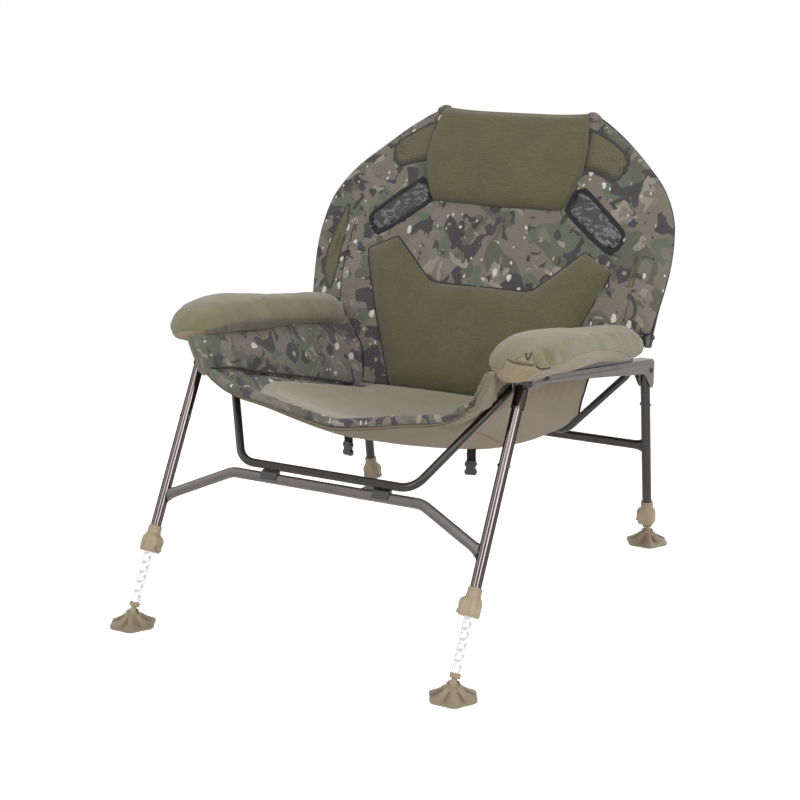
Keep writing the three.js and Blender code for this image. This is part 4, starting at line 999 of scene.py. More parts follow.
def arm_rail(word, side):
    """A folded channel: a web and two flanges, with a pressed groove, and ears that clasp the rear leg."""
    rows = [(y, table(RAIL_DEPTH, y)) for y in RAIL_STATIONS] + RAIL_EARS
    web_half = RAIL_HALF - RAIL_WALL
    parts = []
    for inner, outer in ((web_half, RAIL_HALF), (-RAIL_HALF, -web_half)):
        rings = [[(side * (LEG_X + x), y, z) for x, z in flange_ring(y, depth, inner, outer)]
                 for y, depth in rows if outer < 0 or y >= RAIL_OUTER_FRONT]
        parts.append(loft("flange", rings, RAIL))
    web_half += WEB_SINK
    web_corners = ((-web_half, -RAIL_WALL), (web_half, -RAIL_WALL), (web_half, 0), (-web_half, 0))
    web_ys = [WEB_FRONT] + [y for y, depth in rows if WEB_FRONT < y < WEB_REAR]
    rings = [[(side * (LEG_X + x), y, rail_top(y) + z) for x, z in web_corners] for y in web_ys]
    parts.append(loft("web", rings, RAIL))
    name = f"arm_rail_{word}"
    piece(join(name, *parts), "seat_frame", name)
    rivet_at = place(*RAIL_RIVET) @ sideways(side * LEG_X)
    piece(rivet(f"rail_rivet_{word}", RAIL_HALF, RAIL_RIVET_HEAD, RAIL_RIVET_DOME, rivet_at), "seat_frame")


PLATE_FRONT, PLATE_REAR = -60, 262
PLATE_THICK, PLATE_BOW, PLATE_GAP = 2, 12, 0.4
PLATE_WIDTH, PLATE_EDGE, PLATE_EYE = 24, 1.2, 11
# The upright's front edge, and its rear
UPRIGHT_FRONT = [(266.5, 462), (270, 474), (274, 484)]
UPRIGHT_REAR = 300


def plate_top(y):
    share = min(1.0, max(0.0, (y - PLATE_FRONT) / (PLATE_REAR - PLATE_FRONT)))
    return rail_top(y) + PLATE_THICK + PLATE_BOW * math.sin(math.pi * share)


def arm_plate(word, side):
    """The dark bowed plate on the rail, with the upright that carries the back's pivot."""
    outline = [(y, plate_top(y)) for y in spread(PLATE_FRONT, PLATE_REAR - 4, 40)]
    outline += [(PLATE_REAR, plate_top(PLATE_REAR) + 1.5)] + UPRIGHT_FRONT
    centre_y, centre_z = BACK_PIVOT
    outline += [(centre_y + PLATE_EYE * math.cos(a), centre_z + PLATE_EYE * math.sin(a))
                for a in spread(2.75, 0, 14)]
    outline += [(UPRIGHT_REAR, 470), (UPRIGHT_REAR, rail_top(UPRIGHT_REAR) + PLATE_GAP)]
    outline += [(y, rail_top(y) + PLATE_GAP) for y in spread(UPRIGHT_REAR - 10, PLATE_FRONT, 12)]
    name = f"arm_plate_{word}"
    piece(prism(name, outline, PLATE_WIDTH, side * LEG_X, DARK_FRAME, WORLD, PLATE_EDGE), "seat_frame", name)


# Each bolt's ends across the chair, and its place
BOLTS = {
    "front_pivot": (LEG_X - RAIL_HALF, LEG_X + RAIL_HALF, *FRONT_PIVOT),
    "front_tube": (TUBE_X - TUBE_RADIUS, LEG_X + RAIL_HALF, -132, 495),
    "rear_pivot": (LEG_X - RAIL_HALF, LEG_X + RAIL_HALF, *REAR_PIVOT),
    "back_pivot": (LEG_X - 12, 399, *BACK_PIVOT),
}
SPACER_PROFILE = [(3.2, LEG_X + 12.4), (7.4, LEG_X + 12.6), (7.8, LEG_X + 14), (7.8, 379), (7.4, 381.4),
                  (3.2, 381.6)]
HOOD_OUTLINE = [(-217, 499), (-219, 507), (-216, 514.4), (-194, 511.2), (-188, 504), (-191, 495), (-204, 490.5),
                (-214, 493)]
HOOD_WIDTH, HOOD_EDGE = 28.6, 1.0
SADDLE_OUTLINE = [(-9, -247), (-9, -233), (-4, -228), (3, -226), (5, -231), (5.5, -247)]
SADDLE_WIDTH, SADDLE_X, SADDLE_EDGE = 34, 120, 1.4


def frame_fittings(word, side):
    """Bolts, the spacer on the back's pivot, the bracket over the front leg's top, and the rubber saddle."""
    for name, (low, high, y, z) in BOLTS.items():
        piece(bolt(f"{name}_bolt_{word}", low, high, y, z, side), "seat_frame", f"{name}_bolt_{word}")
    spacer_at = place(*BACK_PIVOT) @ Matrix.Scale(side, 4, (1, 0, 0)) @ TO_X
    piece(lathe(f"back_pivot_spacer_{word}", SPACER_PROFILE, BLACK_PLASTIC, spacer_at), "seat_frame")
    hood = prism(f"leg_hood_{word}", HOOD_OUTLINE, HOOD_WIDTH, side * LEG_X, BLACK_PLASTIC, WORLD, HOOD_EDGE)
    piece(hood, "seat_frame")
    name = f"tube_saddle_{word}"
    saddle = prism(name, SADDLE_OUTLINE, SADDLE_WIDTH, side * SADDLE_X, BLACK_PLASTIC, FRONT, SADDLE_EDGE)
    piece(saddle, "seat_frame", name)


def side_frames():
    for word, side in SIDES:
        arm_rail(word, side)
        arm_plate(word, side)
        frame_fittings(word, side)


side_frames()


# The back

BACK_OUTLINE = [  # half of it, from the top's middle down to the bottom's middle: across, up
    (0, 388), (90, 388.5), (150, 392), (182, 394), (232, 364), (282, 324), (355, 253), (393, 191), (407, 139),
    (412, 77), (407, 13), (401, -30), (397, -56), (390, -62), (340, -60), (338, -63), (324, -78), (308, -98),
    (280, -132), (257, -168), (244, -200), (235, -228), (227, -234), (120, -235), (0, -235)]
VENT = [(176, 350), (190, 355), (230, 336), (264, 311), (274, 292), (266, 266), (252, 258), (215, 270),
        (180, 284)]
POCKET = [(164, 190), (172, 217), (188, 226), (203, 220), (287, 150), (296, 128), (283, 106), (262, 105),
          (172, 172)]
LENS = [(357, 157), (370, 110), (382, 47), (379, 0), (366, -30), (356, -34), (352, 10), (350, 73), (352, 120)]
LENS_SLIT = [(334, 112), (341, 60), (339, 0), (334, -42), (331, -20), (330, 60)]
WALL_SEAM = [(347, -67), (320, -84), (292, -111), (268, -135), (251, -156), (238, -190), (231, -224)]
SIDE_SEAM = [(333, 120), (335, 40), (331, -52)]
SIDE_DART = [(324, 34), (352, 18), (380, -3)]
LUMBAR_HALF = [(0, 1), (106, 1), (124, 7), (220, 96), (287, 63), (282, 40), (241, -63),
               (204, -146), (168, -226), (160, -234), (0, -235)]
TOP_TAB = [(160, 388), (163, 399), (178, 401), (192, 392), (188, 382), (170, 380)]


def mirrored(points):
    return [(-x, y) for x, y in points]


def whole(half):
    """An outline from its half, which runs from the top's middle to the bottom's middle."""
    return half + mirrored(half[-2:0:-1])


def polyline(points, closed=False):
    """The segments of a line, as their starts and their ends."""
    points = np.array(list(points) + [points[0]] if closed else points, float)
    return points[:-1], points[1:]


def distance_to(lines, x, y):
    """How far a point is from the nearest of these segments."""
    a, b = lines
    along = b - a
    point = np.array((x, y)) - a
    share = np.clip((point * along).sum(1) / np.maximum((along * along).sum(1), 1e-9), 0, 1)
    return float(np.sqrt(((point - along * share[:, None]) ** 2).sum(1)).min())


OUTLINE = whole([(p.x, p.y) for p in smoothed(BACK_OUTLINE)])
RIM = polyline(OUTLINE, True)
LUMBAR_EDGE = polyline(whole(LUMBAR_HALF), True)
BACK_SEAMS = [  # line, half width, depth
    (polyline(SIDE_SEAM), 3.2, 3.2),
    (polyline(SIDE_DART), 2.6, 2.2),
    (polyline([(-292, 128), (-330, 110), (-352, 150)]), 3.5, 2.0),
    (polyline([(-281, 66), (-302, 92), (-288, 118)]), 3.0, 2.2),
    (polyline([(281, 66), (292, 84), (294, 104)]), 3.0, 2.2),
    (polyline([(-217, 95), (-214, 110), (-196, 140)]), 2.6, 1.4),
    (polyline([(-347, -52), (-318, -56), (-291, -60)]), 3.0, 2.4),
]
BACK_SEAMS += [(polyline(area, True), 5.0, 2.6)
               for area in (VENT, mirrored(VENT), POCKET, mirrored(POCKET), mirrored(LENS))]
# Gathers run out from the vents, pockets and the lumbar pad's corners: across, up, reach
BACK_GATHERS = [(-281, 64, 52), (281, 64, 45), (-290, 120, 42), (292, 112, 42), (-268, 290, 34), (270, 290, 34),
                (-340, 60, 48), (-165, 225, 30)]
WING_START, WING_WIDE, WING_AHEAD = 290, 122, 16


def wing(x):
    """How far the back's sides bend ahead."""
    return WING_AHEAD * max(0.0, (abs(x) - WING_START) / WING_WIDE) ** 1.5


def back_front(x, s):
    """How far the back's front face lies ahead of its plane: padding, seams and soft folds."""
    edge = distance_to(RIM, x, s)
    level = wing(x) + 5.5 * smooth(edge / 40)
    for lines, width, depth in BACK_SEAMS:
        near = distance_to(lines, x, s)
        if near < 4 * width:
            level -= depth * bell(near, width)
    level -= 3.2 * bell(distance_to(LUMBAR_EDGE, x, s), 7)
    level += 3.4 * ripple(x, s, 0, 85, 2.2) + 1.9 * ripple(x, s, 5, 38, 7.1) * smooth(edge / 20)
    for cx, cy, reach in BACK_GATHERS:
        gap = math.hypot(x - cx, s - cy)
        if 4 < gap < reach * 2.2:
            angle = math.atan2(s - cy, x - cx)
            level += 2.5 * math.cos(9 * angle + cx) * bell(gap, reach) * smooth(gap / 12)
    return level


def shrunk(outline, centre, shares):
    """The outline's points at each share of their way out from a centre, ring by ring."""
    return [(centre[0] + (x - centre[0]) * share, centre[1] + (y - centre[1]) * share)
            for share in shares for x, y in outline]


def two_layers(count, rings):
    """Faces of a front and a rear layer, each of so many rings."""
    return (grid_faces(count, rings, wrap=True, flip=True)
            + grid_faces(count, rings, count * rings, wrap=True))


def rimmed(count, rings):
    """Faces of two layers and of the rim that joins them."""
    rim = (rings - 1) * count
    return two_layers(count, rings) + band(rim, count * rings + rim, count)


BACK_CENTRE = (0, 70)
BACK_SHARES = [0.0] + spread(0.05, 0.84, 27)
BACK_SHARES += [0.86, 0.88, 0.9, 0.915, 0.93, 0.945, 0.957, 0.968, 0.978, 0.986, 0.992, 0.997, 1.0]
BACK_THIN, BACK_THICK, BACK_ROUND = 13, 22, 9


def back_shell():
    """The padded shell: its front printed, its rear plain, with a rounded rim."""
    front, rear = [], []
    for x, s in shrunk(OUTLINE, BACK_CENTRE, BACK_SHARES):
        edge = distance_to(RIM, x, s)
        round_off = math.sqrt(max(0.0, 1 - (1 - min(1, edge / BACK_ROUND)) ** 2))
        half = mix(BACK_THIN, BACK_THICK, smooth(edge / 70)) / 2
        middle = back_front(x, s) - half
        front.append((x, -(middle + half * round_off), s))
        rear.append((x, -(middle - half * round_off), s))
    faces = two_layers(len(OUTLINE), len(BACK_SHARES))
    shell = make("back_shell", front + rear, faces, CAMO, BACK, TAN, len(faces) // 2)
    piece(shell, "back", "back_shell")


back_shell()


def patch(name, points, material, rise, thick=3.0):
    """A panel on the back: follows its front, raised or sunk in its middle."""
    outline = smoothed(points, 5, True)
    centre = sum(outline, Vector((0, 0))) / len(outline)
    rings = 14
    top, under = [], []
    for share in (math.sin(a) for a in spread(0, math.pi / 2, rings + 1)):
        swell = rise * max(0.0, 1 - share ** 4) ** 0.5
        for p in outline:
            q = centre.lerp(p, share)
            level = back_front(q.x, q.y)
            top.append((q.x, -(level + 0.6 + swell), q.y))
            under.append((q.x, -(level - thick), q.y))
    piece(make(name, top + under, rimmed(len(outline), rings + 1), material, BACK), "back")


def edging(name, points, material, width, proud, steps=5, surface=back_front, closed=True):
    """A bound edge that follows a line on the back."""
    path = [(p.x, -(surface(p.x, p.y) + proud * 0.4), p.y) for p in smoothed(points, steps, closed)]
    section = [(width * math.cos(a), proud * math.sin(a)) for a in angles(10)]
    piece(sweep(name, path, section, material, BACK, Vector((0, -1, 0)), closed), "back")


def nets_and_seams():
    for word, side in SIDES:
        lines = (VENT, POCKET, WALL_SEAM, SIDE_SEAM, SIDE_DART)
        vent, pocket, wall, seam, dart = (line if side > 0 else mirrored(line) for line in lines)
        patch(f"net_vent_{word}", vent, OLIVE_NET, 8)
        edging(f"net_vent_edge_{word}", vent, GREY_EDGE, 5.2, 3.0)
        patch(f"net_pocket_{word}", pocket, BLACK_NET, 3.0)
        edging(f"net_pocket_edge_{word}", pocket, BINDING, 5.6, 3.4)
        edging(f"wall_seam_{word}", wall, PIPING, 1.6, 1.5, closed=False)
        edging(f"side_seam_{word}", seam, PIPING, 0.9, 1.0, closed=False)
        edging(f"side_dart_{word}", dart, PIPING, 0.8, 1.0, closed=False)
    patch("side_net_right", mirrored(LENS), OLIVE_NET, 2.0)
    edging("side_net_edge_right", mirrored(LENS), GREY_EDGE, 2.4, 1.4)
    patch("side_net_left", LENS_SLIT, OLIVE_NET, 0.6)
    edging("back_rim_binding", [(x * 0.9985, y) for x, y in OUTLINE[::4]], BINDING, 1.6, 1.6, 3,
           surface=lambda x, s: wing(x) - 6.5)


nets_and_seams()

LUMBAR_FULL, LUMBAR_ROUND = 19, 46
LUMBAR_CENTRE = (0, -112)
LUMBAR_SHARES = [0] + spread(0.06, 0.78, 23)
LUMBAR_SHARES += [0.81, 0.84, 0.87, 0.895, 0.92, 0.94, 0.957, 0.972, 0.984, 0.993, 1]


def lumbar_front(x, s):
    """The lumbar pad's front face: full in the middle, pulled down at its piped edge."""
    edge = distance_to(LUMBAR_EDGE, x, s)
    level = back_front(x, s) * 0.35 + wing(x) * 0.65 + 1.5
    full = 1 - (1 - min(1, edge / LUMBAR_ROUND)) ** 2.4
    return level + LUMBAR_FULL * full + 0.8 * ripple(x, s, 9, 90, 3.3)


def lumbar_pad():
    line = whole([(p.x, p.y) for p in rounded([(x, y, 0) for x, y in LUMBAR_HALF], 5, 4)])
    dense = refined([Vector(p) for p in line + line[:1]])[:-1]
    places = shrunk(dense, LUMBAR_CENTRE, LUMBAR_SHARES)
    front = [(x, -lumbar_front(x, s), s) for x, s in places]
    rear = [(x, -(wing(x) - 3), s) for x, s in places]
    pad = make("lumbar_pad", front + rear, rimmed(len(dense), len(LUMBAR_SHARES)), OLIVE, BACK)
    piece(pad, "back", "lumbar_pad")
    path = [(x, -(back_front(x, y) * 0.4 + wing(x) * 0.6 + 2.6), y) for x, y in dense if y > -228]
    piece(sweep("lumbar_piping", path, circle(1.5, 8), PIPING, BACK, Vector((0, -1, 0))), "back")


lumbar_pad()

HEADREST_HALF = [(0.0, 150), (0.04, 157), (0.12, 164), (0.3, 176), (0.45, 182), (0.6, 182), (0.8, 176),
                 (1.0, 170)]
HEADREST_BOTTOM, HEADREST_TOP, HEADREST_FULL = 180, 392, 26
FOLD_HALF, FOLD_TOP, FOLD_RADIUS, FOLD_SAG, FOLD_TAIL = 168, 386, 12.5, 6, 70


def headrest_point(u, v, upper):
    half = table(HEADREST_HALF, v) - 2.5 * (1 - crown(v, 2))
    share = 2 * u - 1
    # the bottom edge bows down in the middle and the top edge sags between the corners
    s = mix(HEADREST_BOTTOM - 2.5 * (1 - share ** 2), HEADREST_TOP - 6 * (1 - share ** 4), v)
    x = share * half
    side = crown(u, 5)
    end = (1 - max(0.0, 1 - v / 0.2) ** 2.6) ** 0.5 * (1 - max(0.0, (v - 0.86) / 0.14) ** 2.4) ** 0.5
    base = wing(x) + 6
    if not upper:
        return (x, -(base - 4 * side * end), s)
    full = HEADREST_FULL * (0.8 + 0.2 * math.sin(math.pi * v)) * side ** 0.5 * end
    return (x, -(base + full + 1.4 * ripple(x, s, 3, 70, 4.4) * side * end), s)


def fold_point(u, v, upper):
    """A place on the cloth that runs up the front of the rim, over it and down the rear."""
    radius = FOLD_RADIUS + (1.5 if upper else -2.5)
    sag = FOLD_SAG * (1 - (2 * u - 1) ** 4)
    tail = FOLD_TAIL * max(0.0, v - 0.8) / 0.2
    s = FOLD_TOP - sag + 0.85 * radius * math.sin(math.pi * v) - tail
    return (mix(-FOLD_HALF, FOLD_HALF, u), 6 - (radius + 8) * math.cos(math.pi * v), s)


def headrest():
    """A soft pillow over the back's top edge, its sides pulled in between its corners."""
    pad = slab("headrest", eased(45), eased(37), headrest_point, OLIVE, BACK)
    piece(pad, "back", "headrest")
    fold = slab("headrest_fold", spread(0, 1, 31), spread(0, 1, 25), fold_point, OLIVE, BACK)
    piece(fold, "back")
    for word, side in SIDES:
        patch(f"top_tab_{word}", [(side * x, y) for x, y in TOP_TAB], CAMO, 5, 8)


headrest()

HOOP_RADIUS, HOOP_BEHIND = 8, 14
HOOP_HALF = [(390, -82), (394, 11), (399, 80), (393, 150), (370, 200), (335, 256), (267, 319), (158, 383)]
HOOP_FOOT = (390, -86)
HOOP_FOOT_PROFILE = [(0, 0), (8.6, 0), (9.8, 1.2), (10.1, 10), (10.1, 19), (9.4, 20.4), (8.2, 20.6)]


def back_hoop():
    half = [(x, HOOP_BEHIND - wing(x), s) for x, s in HOOP_HALF]
    path = smoothed(half, 8) + smoothed([(-x, y, s) for x, y, s in reversed(half)], 8)
    hoop = sweep("back_hoop", path, circle(HOOP_RADIUS, 20), DARK_FRAME, BACK, Vector((0, -1, 0)))
    piece(hoop, "back", "back_hoop")
    x, s = HOOP_FOOT
    for word, side in SIDES:
        at = BACK @ Matrix.Translation((side * x, HOOP_BEHIND - wing(x), s))
        piece(lathe(f"hoop_foot_{word}", HOOP_FOOT_PROFILE, BLACK_PLASTIC, at), "back")


back_hoop()


# The bucket seat

TROUGH_ROWS = [(0, 0.513), (0.129, 0.66), (0.278, 0.777), (0.427, 0.878), (0.575, 0.949), (0.724, 0.985),
               (0.873, 1), (1, 0.975)]
SEAT_DEEP = 197
WALL_START = 0.82
WALL_TUCK = 8
WALL_X, WALL_FLARE, WALL_NARROW = 300, 14, 4
CREASE_X = 298
FLOOR_REAR = 339
# The wall's top is found in turns, from this height
WALL_TOP_GUESS = 508
TONGUE_EDGE = [(336, 233), (347, 234), (372, 243), (403, 257), (437, 279), (460, 300), (482, 322)]
# The lip's height between its middle and its corners
LIP_ROWS = [(0, 0), (0.1, 0.05), (0.33, 0.2), (0.55, 0.37), (0.72, 0.47), (0.82, 0.57), (0.92, 0.77), (1, 1)]
# How far the outer cloth runs on behind the back, and how far it hangs there, by the share across
REAR_REACH = [(0, 40), (0.55, 48), (0.8, 63), (0.86, 58), (0.9, 36), (0.95, 14), (1, 2)]
REAR_DROP = [(0, 9), (0.3, 14), (0.55, 28), (0.74, 34), (0.82, 19), (0.9, 4), (1, 0)]
# The front seat tube runs down between these points, and the cloth keeps clear of it
TUBE_HIGH, TUBE_LOW = Vector(FRONT_TUBE_HIGH), Vector(FRONT_TUBE_LOW)
TUBE_WAY = (TUBE_LOW - TUBE_HIGH).normalized()
TUBE_IN = (Vector((-1, 0, 0)) + TUBE_WAY * TUBE_WAY.x).normalized()
TUBE_ACROSS = TUBE_WAY.cross(TUBE_IN)
TUBE_REACH = 30
INNER_CLEAR, OUTER_CLEAR = 20, 11.5
CLOTH_THICK, CLOTH_THIN = 11, 9
# The seams of the outer cloth: share across, half width, depth
OUTER_SEAMS = ((0.84, 0.008, 4.4), (0.62, 0.008, 4.2))
# Places across the shell, closer together where it creases: from, to, count
SHELL_SPANS = ((-1, -0.86, 16), (-0.86, -0.78, 16), (-0.78, -0.62, 10), (-0.62, -0.58, 6), (-0.58, 0.58, 30),
               (0.58, 0.62, 6), (0.62, 0.78, 10), (0.78, 0.86, 16), (0.86, 1, 17))
SHELL_ALONG = [0, 0.008, 0.02, 0.035] + spread(0.05, 0.95, 60) + [0.965, 0.98, 0.992, 1]


def back_face(z):
    """How far behind the back's front face lies at that height."""
    pivot_y, pivot_z = BACK_PIVOT
    return pivot_y + (-2 + (z - pivot_z) * math.sin(-BACK_LEAN)) / math.cos(BACK_LEAN)


def clear_of_tube(p, gap):
    """The point moved inwards where it would come nearer to the seat tube's axis than the gap."""
    q = p - TUBE_HIGH
    along, inward, beside = q.dot(TUBE_WAY), q.dot(TUBE_IN), q.dot(TUBE_ACROSS)
    if -40 < along < (TUBE_LOW - TUBE_HIGH).length + 20 and abs(beside) < TUBE_REACH and inward > -45:
        need = gap * math.sqrt(1 - (beside / TUBE_REACH) ** 2)
        if inward < need:
            return p + TUBE_IN * (need - inward)
    return p


def wall_share(share):
    """How far up the wall a place is, 0 on the floor and 1 at the wall's top."""
    return max(0.0, (share - WALL_START) / (1 - WALL_START))


def trough(a, v, lift=1.0):
    """A place on the seat's upper face: a runs from -1 to 1 across it, and v from its lip to the back."""
    share = abs(a)
    floor_share = min(share / WALL_START, 1)
    up = wall_share(share)
    rise = smooth((v - 0.93) / 0.07) * lift
    rear = smooth((v - 0.84) / 0.16)
    pivot_y, pivot_z = FRONT_PIVOT
    crease_x = CREASE_X - mix(13, 63, v)
    crease_z = pivot_z - mix(27, 163, v) + 3 * rise
    front_y = pivot_y - mix(85, 82, up)
    top_z = WALL_TOP_GUESS
    for turn in range(3):
        top_z = plate_top(mix(front_y, back_face(top_z) - 10, v)) + WALL_TUCK + 22 * rear
    if up > 0:
        # the wall leans out in a soft curve from the crease
        wall_x = WALL_X + WALL_FLARE * smooth(1 - v / 0.25) - WALL_NARROW * smooth((v - 0.6) / 0.4)
        x = mix(crease_x, wall_x, up) + 2.4 * math.sin(math.pi * up)
        z = mix(crease_z, top_z, up)
        x = mix(x, table(TONGUE_EDGE, z) + 2, rear)
    else:
        x = floor_share * crease_x
        middle_z = pivot_z - SEAT_DEEP * table(TROUGH_ROWS, v)
        curve = mix(table(LIP_ROWS, floor_share), floor_share ** mix(2.3, 4, v), smooth(v / 0.35))
        z = mix(mix(middle_z, crease_z, curve), FLOOR_REAR, rise)
    y = mix(front_y, back_face(z) + mix(-10, 5, rear), v)
    p = clear_of_tube(Vector((x, y, z)), INNER_CLEAR)
    return Vector((math.copysign(p.x, a) if a else 0.0, p.y, p.z))


def seat_inner(a, v):
    """The printed inner face: padded walls with slanting folds, and a deep crease along the seat."""
    p = trough(a, v)
    share = abs(a)
    up = wall_share(share)
    ends = smooth(v / 0.06) * smooth((1 - v) / 0.04)
    if up > 0:
        puff = 15 * math.sin(math.pi * min(1, up * 0.9 + 0.06)) ** 0.7 * (0.35 + 0.65 * ends)
        puff *= 1 - 0.35 * smooth((v - 0.84) / 0.16)
        slant = p.y * 0.05 + p.z * 0.072
        fold = math.sin(slant + 1.8 * ripple(p.x, p.y, p.z, 90, 1.7)) * (0.5 + ripple(p.x, p.y, p.z, 60, 5.5))
        rear_gather = 1 + 1.6 * smooth((v - 0.6) / 0.4)
        puff += 5.0 * fold * math.sin(math.pi * up) * ends * rear_gather
        p.x -= math.copysign(puff, a)
        p.z += 2 * math.sin(math.pi * up)
    else:
        p.z += 2.0 * ripple(p.x, p.y, 0, 70, 6.1) * ends * smooth((WALL_START - share) / 0.05)
    crease = bell(share - WALL_START, 0.016) * ends
    p.z -= 4 * crease
    p.x += math.copysign(2 * crease, a)
    return p


def seat_outer(a, v):
    """The plain outer face: stitched seams along it and wrinkles near the front corners."""
    p = trough(a, v, 0.0)
    share = abs(a)
    up = wall_share(share)
    ends = smooth(v / 0.05) * smooth((1 - v) / 0.04)
    thick = mix(CLOTH_THICK, CLOTH_THIN, smooth(up * 3))
    side_way = smooth((share - 0.55) / 0.3)
    groove = sum(depth * bell(share - at, width) for at, width, depth in OUTER_SEAMS)
    wrinkle = 0.0
    if share > 0.5:
        corner = bell(v - 0.1, 0.16) * smooth((share - 0.6) / 0.25)
        slope = math.sin(0.11 * (p.z + 0.75 * p.y) + 2.2 * ripple(p.x, p.y, p.z, 60, 3.9))
        wrinkle = 4.6 * corner * slope
        upright = math.sin(0.17 * p.y + 2.0 * ripple(p.x, p.y, p.z, 50, 8.8))
        wrinkle += 2.8 * upright * smooth((up - 0.1) / 0.2) * smooth((v - 0.35) / 0.2)
    if share < 0.6:
        swell = 2.6 * math.sin(math.pi * (share / 0.6)) ** 0.5
    else:
        swell = 2.2 * math.sin(math.pi * min(1.0, (share - 0.6) / 0.23))
    least = 7 + 6 * bell(share - WALL_START, 0.04)
    depth = max(least, thick + (swell - groove + wrinkle) * ends)
    p.z -= depth * (1 - 0.85 * side_way)
    p.x += math.copysign(depth * side_way, a)
    p.y += table(REAR_REACH, share) * smooth((v - 0.62) / 0.38)
    p.z -= table(REAR_DROP, share) * smooth((v - 0.35) / 0.5)
    near = clear_of_tube(Vector((abs(p.x), p.y, p.z)), OUTER_CLEAR)
    return Vector((math.copysign(near.x, p.x), near.y, near.z))


def seat_piece(obj, *nodes):
    """A part of the seat: it rides on the seat frame, with a mesh of its own."""
    piece(obj, "seat_frame", *nodes)
    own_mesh(obj)


def shell_point(a, v, upper):
    return seat_inner(a, v) if upper else seat_outer(a, v)


def seat_shell():
    places = [SHELL_SPANS[0][0]]
    for start, end, count in SHELL_SPANS:
        places += spread(start, end, count + 1)[1:]
    shell = slab("seat_shell", places, SHELL_ALONG, shell_point, CAMO, WORLD, TAN)
    seat_piece(shell, "seat_shell")


LIP_DEEP, LIP_TALL = 9.0, 8.5
LIP_BACK, LIP_UP = 3, 3.5
LIP_SEAMS = (0.45, 0.92)  # each seam's share of the way from the inner face to the outer one
# The creases' shade is stood in for by dark cords: their places along the seat, how far in and up they sit, and
# their radius
CREASE_PLACES = (0.02, 0.12, 0.3, 0.45, 0.6, 0.75, 0.86, 0.93)
CREASE_IN, CREASE_UP, CREASE_RADIUS = 8.5, 1.5, 2.1
# The folded edges at the walls' fronts: how far in from the outer face, section, cloth
WALL_EDGES = (("seat_wall_edge", 0.2, oval(8, 18, 7), TAN_EDGE), ("seat_wall_roll", 0.72, oval(9, 14, 6), CAMO))


def seat_lip():
    """The padded roll along the seat's lip."""
    line = [trough(a, 0.0) for a in spread(-0.8, 0.8, 90)]
    rings = []
    for p, along, share in zip(line, directions(line), spread(0, 1, len(line))):
        size = crown(share, 6) ** 0.5 * 0.75 + 0.25
        size *= 1 + 0.07 * ripple(p.x, 4, 1, 17, 2.9) + 0.10 * ripple(p.x, 1, 8, 45, 6.6)
        centre = p + Vector((0, LIP_BACK, 0)) + lift_over(along) * LIP_UP
        ahead = Vector((0, -LIP_DEEP * size, 0))
        lift = lift_over(along) * LIP_TALL * size
        rings.append([centre + ahead * math.cos(a) + lift * math.sin(a) for a in angles(20)])
    roll = loft("seat_lip", rings, CAMO)
    seat_piece(roll)


def seat_edges():
    """Seams below the lip, the binding at the rear, edges of the walls, and dark cords in the creases that
    stand in for the creases' shade.
    """
    for k, down in enumerate(LIP_SEAMS):
        path = [seat_inner(a, 0.0).lerp(seat_outer(a, 0.0), down) + Vector((0, -0.4, 0))
                for a in spread(-0.76, 0.76, 80)]
        seat_piece(sweep(f"seat_lip_seam_{k}", path, circle(0.9, 8), TAN_SEAM, up=Vector((0, -1, 0))))
    rear = [seat_outer(a, 1.0) for a in spread(-0.985, 0.985, 120)]
    seat_piece(sweep("seat_rear_binding", rear, oval(5, 8, 5), BINDING, up=Vector((0, 1, 0))))
    for word, side in SIDES:
        for name, inward, section, material in WALL_EDGES:
            path = [seat_outer(side * a, 0.0).lerp(seat_inner(side * a, 0.0), inward) + Vector((0, 0.5, 0))
                    for a in spread(0.79, 0.985, 40)]
            seat_piece(sweep(f"{name}_{word}", path, section, material, up=Vector((0, 1, 0))))
        # a dark cord laid in the crease, standing in for its shade
        move = Vector((-side * CREASE_IN, 0, CREASE_UP))
        crease = smoothed([trough(side * WALL_START, v) + move for v in CREASE_PLACES], 10)
        seat_piece(sweep(f"seat_crease_shade_{word}", crease, circle(CREASE_RADIUS, 8), PIPING))


PAD_FROM, PAD_SHARE, PAD_RISE, PAD_CROWN = 0.06, 0.95, 2, 20


def cushion_point(u, v, upper):
    width = PAD_SHARE * (0.4 + 0.6 * crown(v, 2.6 if v < 0.5 else 9))
    p = trough((2 * u - 1) * WALL_START * width, mix(PAD_FROM, 1.0, v))
    if upper:
        body = crown(u, 3.4) ** 0.8 * crown(v, 3.4) ** 0.8
        p.z += PAD_RISE + PAD_CROWN * body + 1.2 * ripple(p.x, p.y, 2, 90, 3.1) * body
    else:
        p.z -= PAD_RISE
    return p


def seat_pad():
    """The seat's own pad: a crowned lens of soft cloth with a sewn edge."""
    pad = slab("seat_pad", eased(57), eased(41), cushion_point, SEAT_CLOTH)
    puffed(pad, 5, 6.5)
    seat_piece(pad, "seat_pad")


seat_shell()
seat_lip()
seat_edges()
seat_pad()


# Arm pads

PAD_X, PAD_FRONT, PAD_REAR = 345, -278, 268
PAD_WIDE, PAD_HIGH = 71, 81
PAD_HALF = [(0.0, 0.0), (0.004, 0.24), (0.02, 0.5), (0.05, 0.72), (0.09, 0.88), (0.14, 0.97), (0.2, 1.0),
            (0.8, 1.0), (0.88, 0.95), (0.94, 0.83), (0.975, 0.62), (0.993, 0.36), (1.0, 0.0)]
PAD_TOP = [(0.0, 0.20), (0.01, 0.30), (0.04, 0.47), (0.09, 0.65), (0.16, 0.81), (0.24, 0.90), (0.34, 0.93),
           (0.45, 0.92), (0.6, 0.885), (0.8, 0.87), (0.9, 0.88), (0.96, 0.88), (1.0, 0.80)]
PAD_PLACES = [0.0001, 0.0005, 0.0012, 0.0024, 0.004, 0.0065, 0.0095, 0.013, 0.017, 0.022, 0.028, 0.035, 0.043,
              0.052, 0.062, 0.073, 0.085, 0.097, 0.11, 0.124, 0.138, 0.153, 0.168, 0.184, 0.2, 0.217, 0.235]
PAD_PLACES += spread(0.255, 0.86, 38)
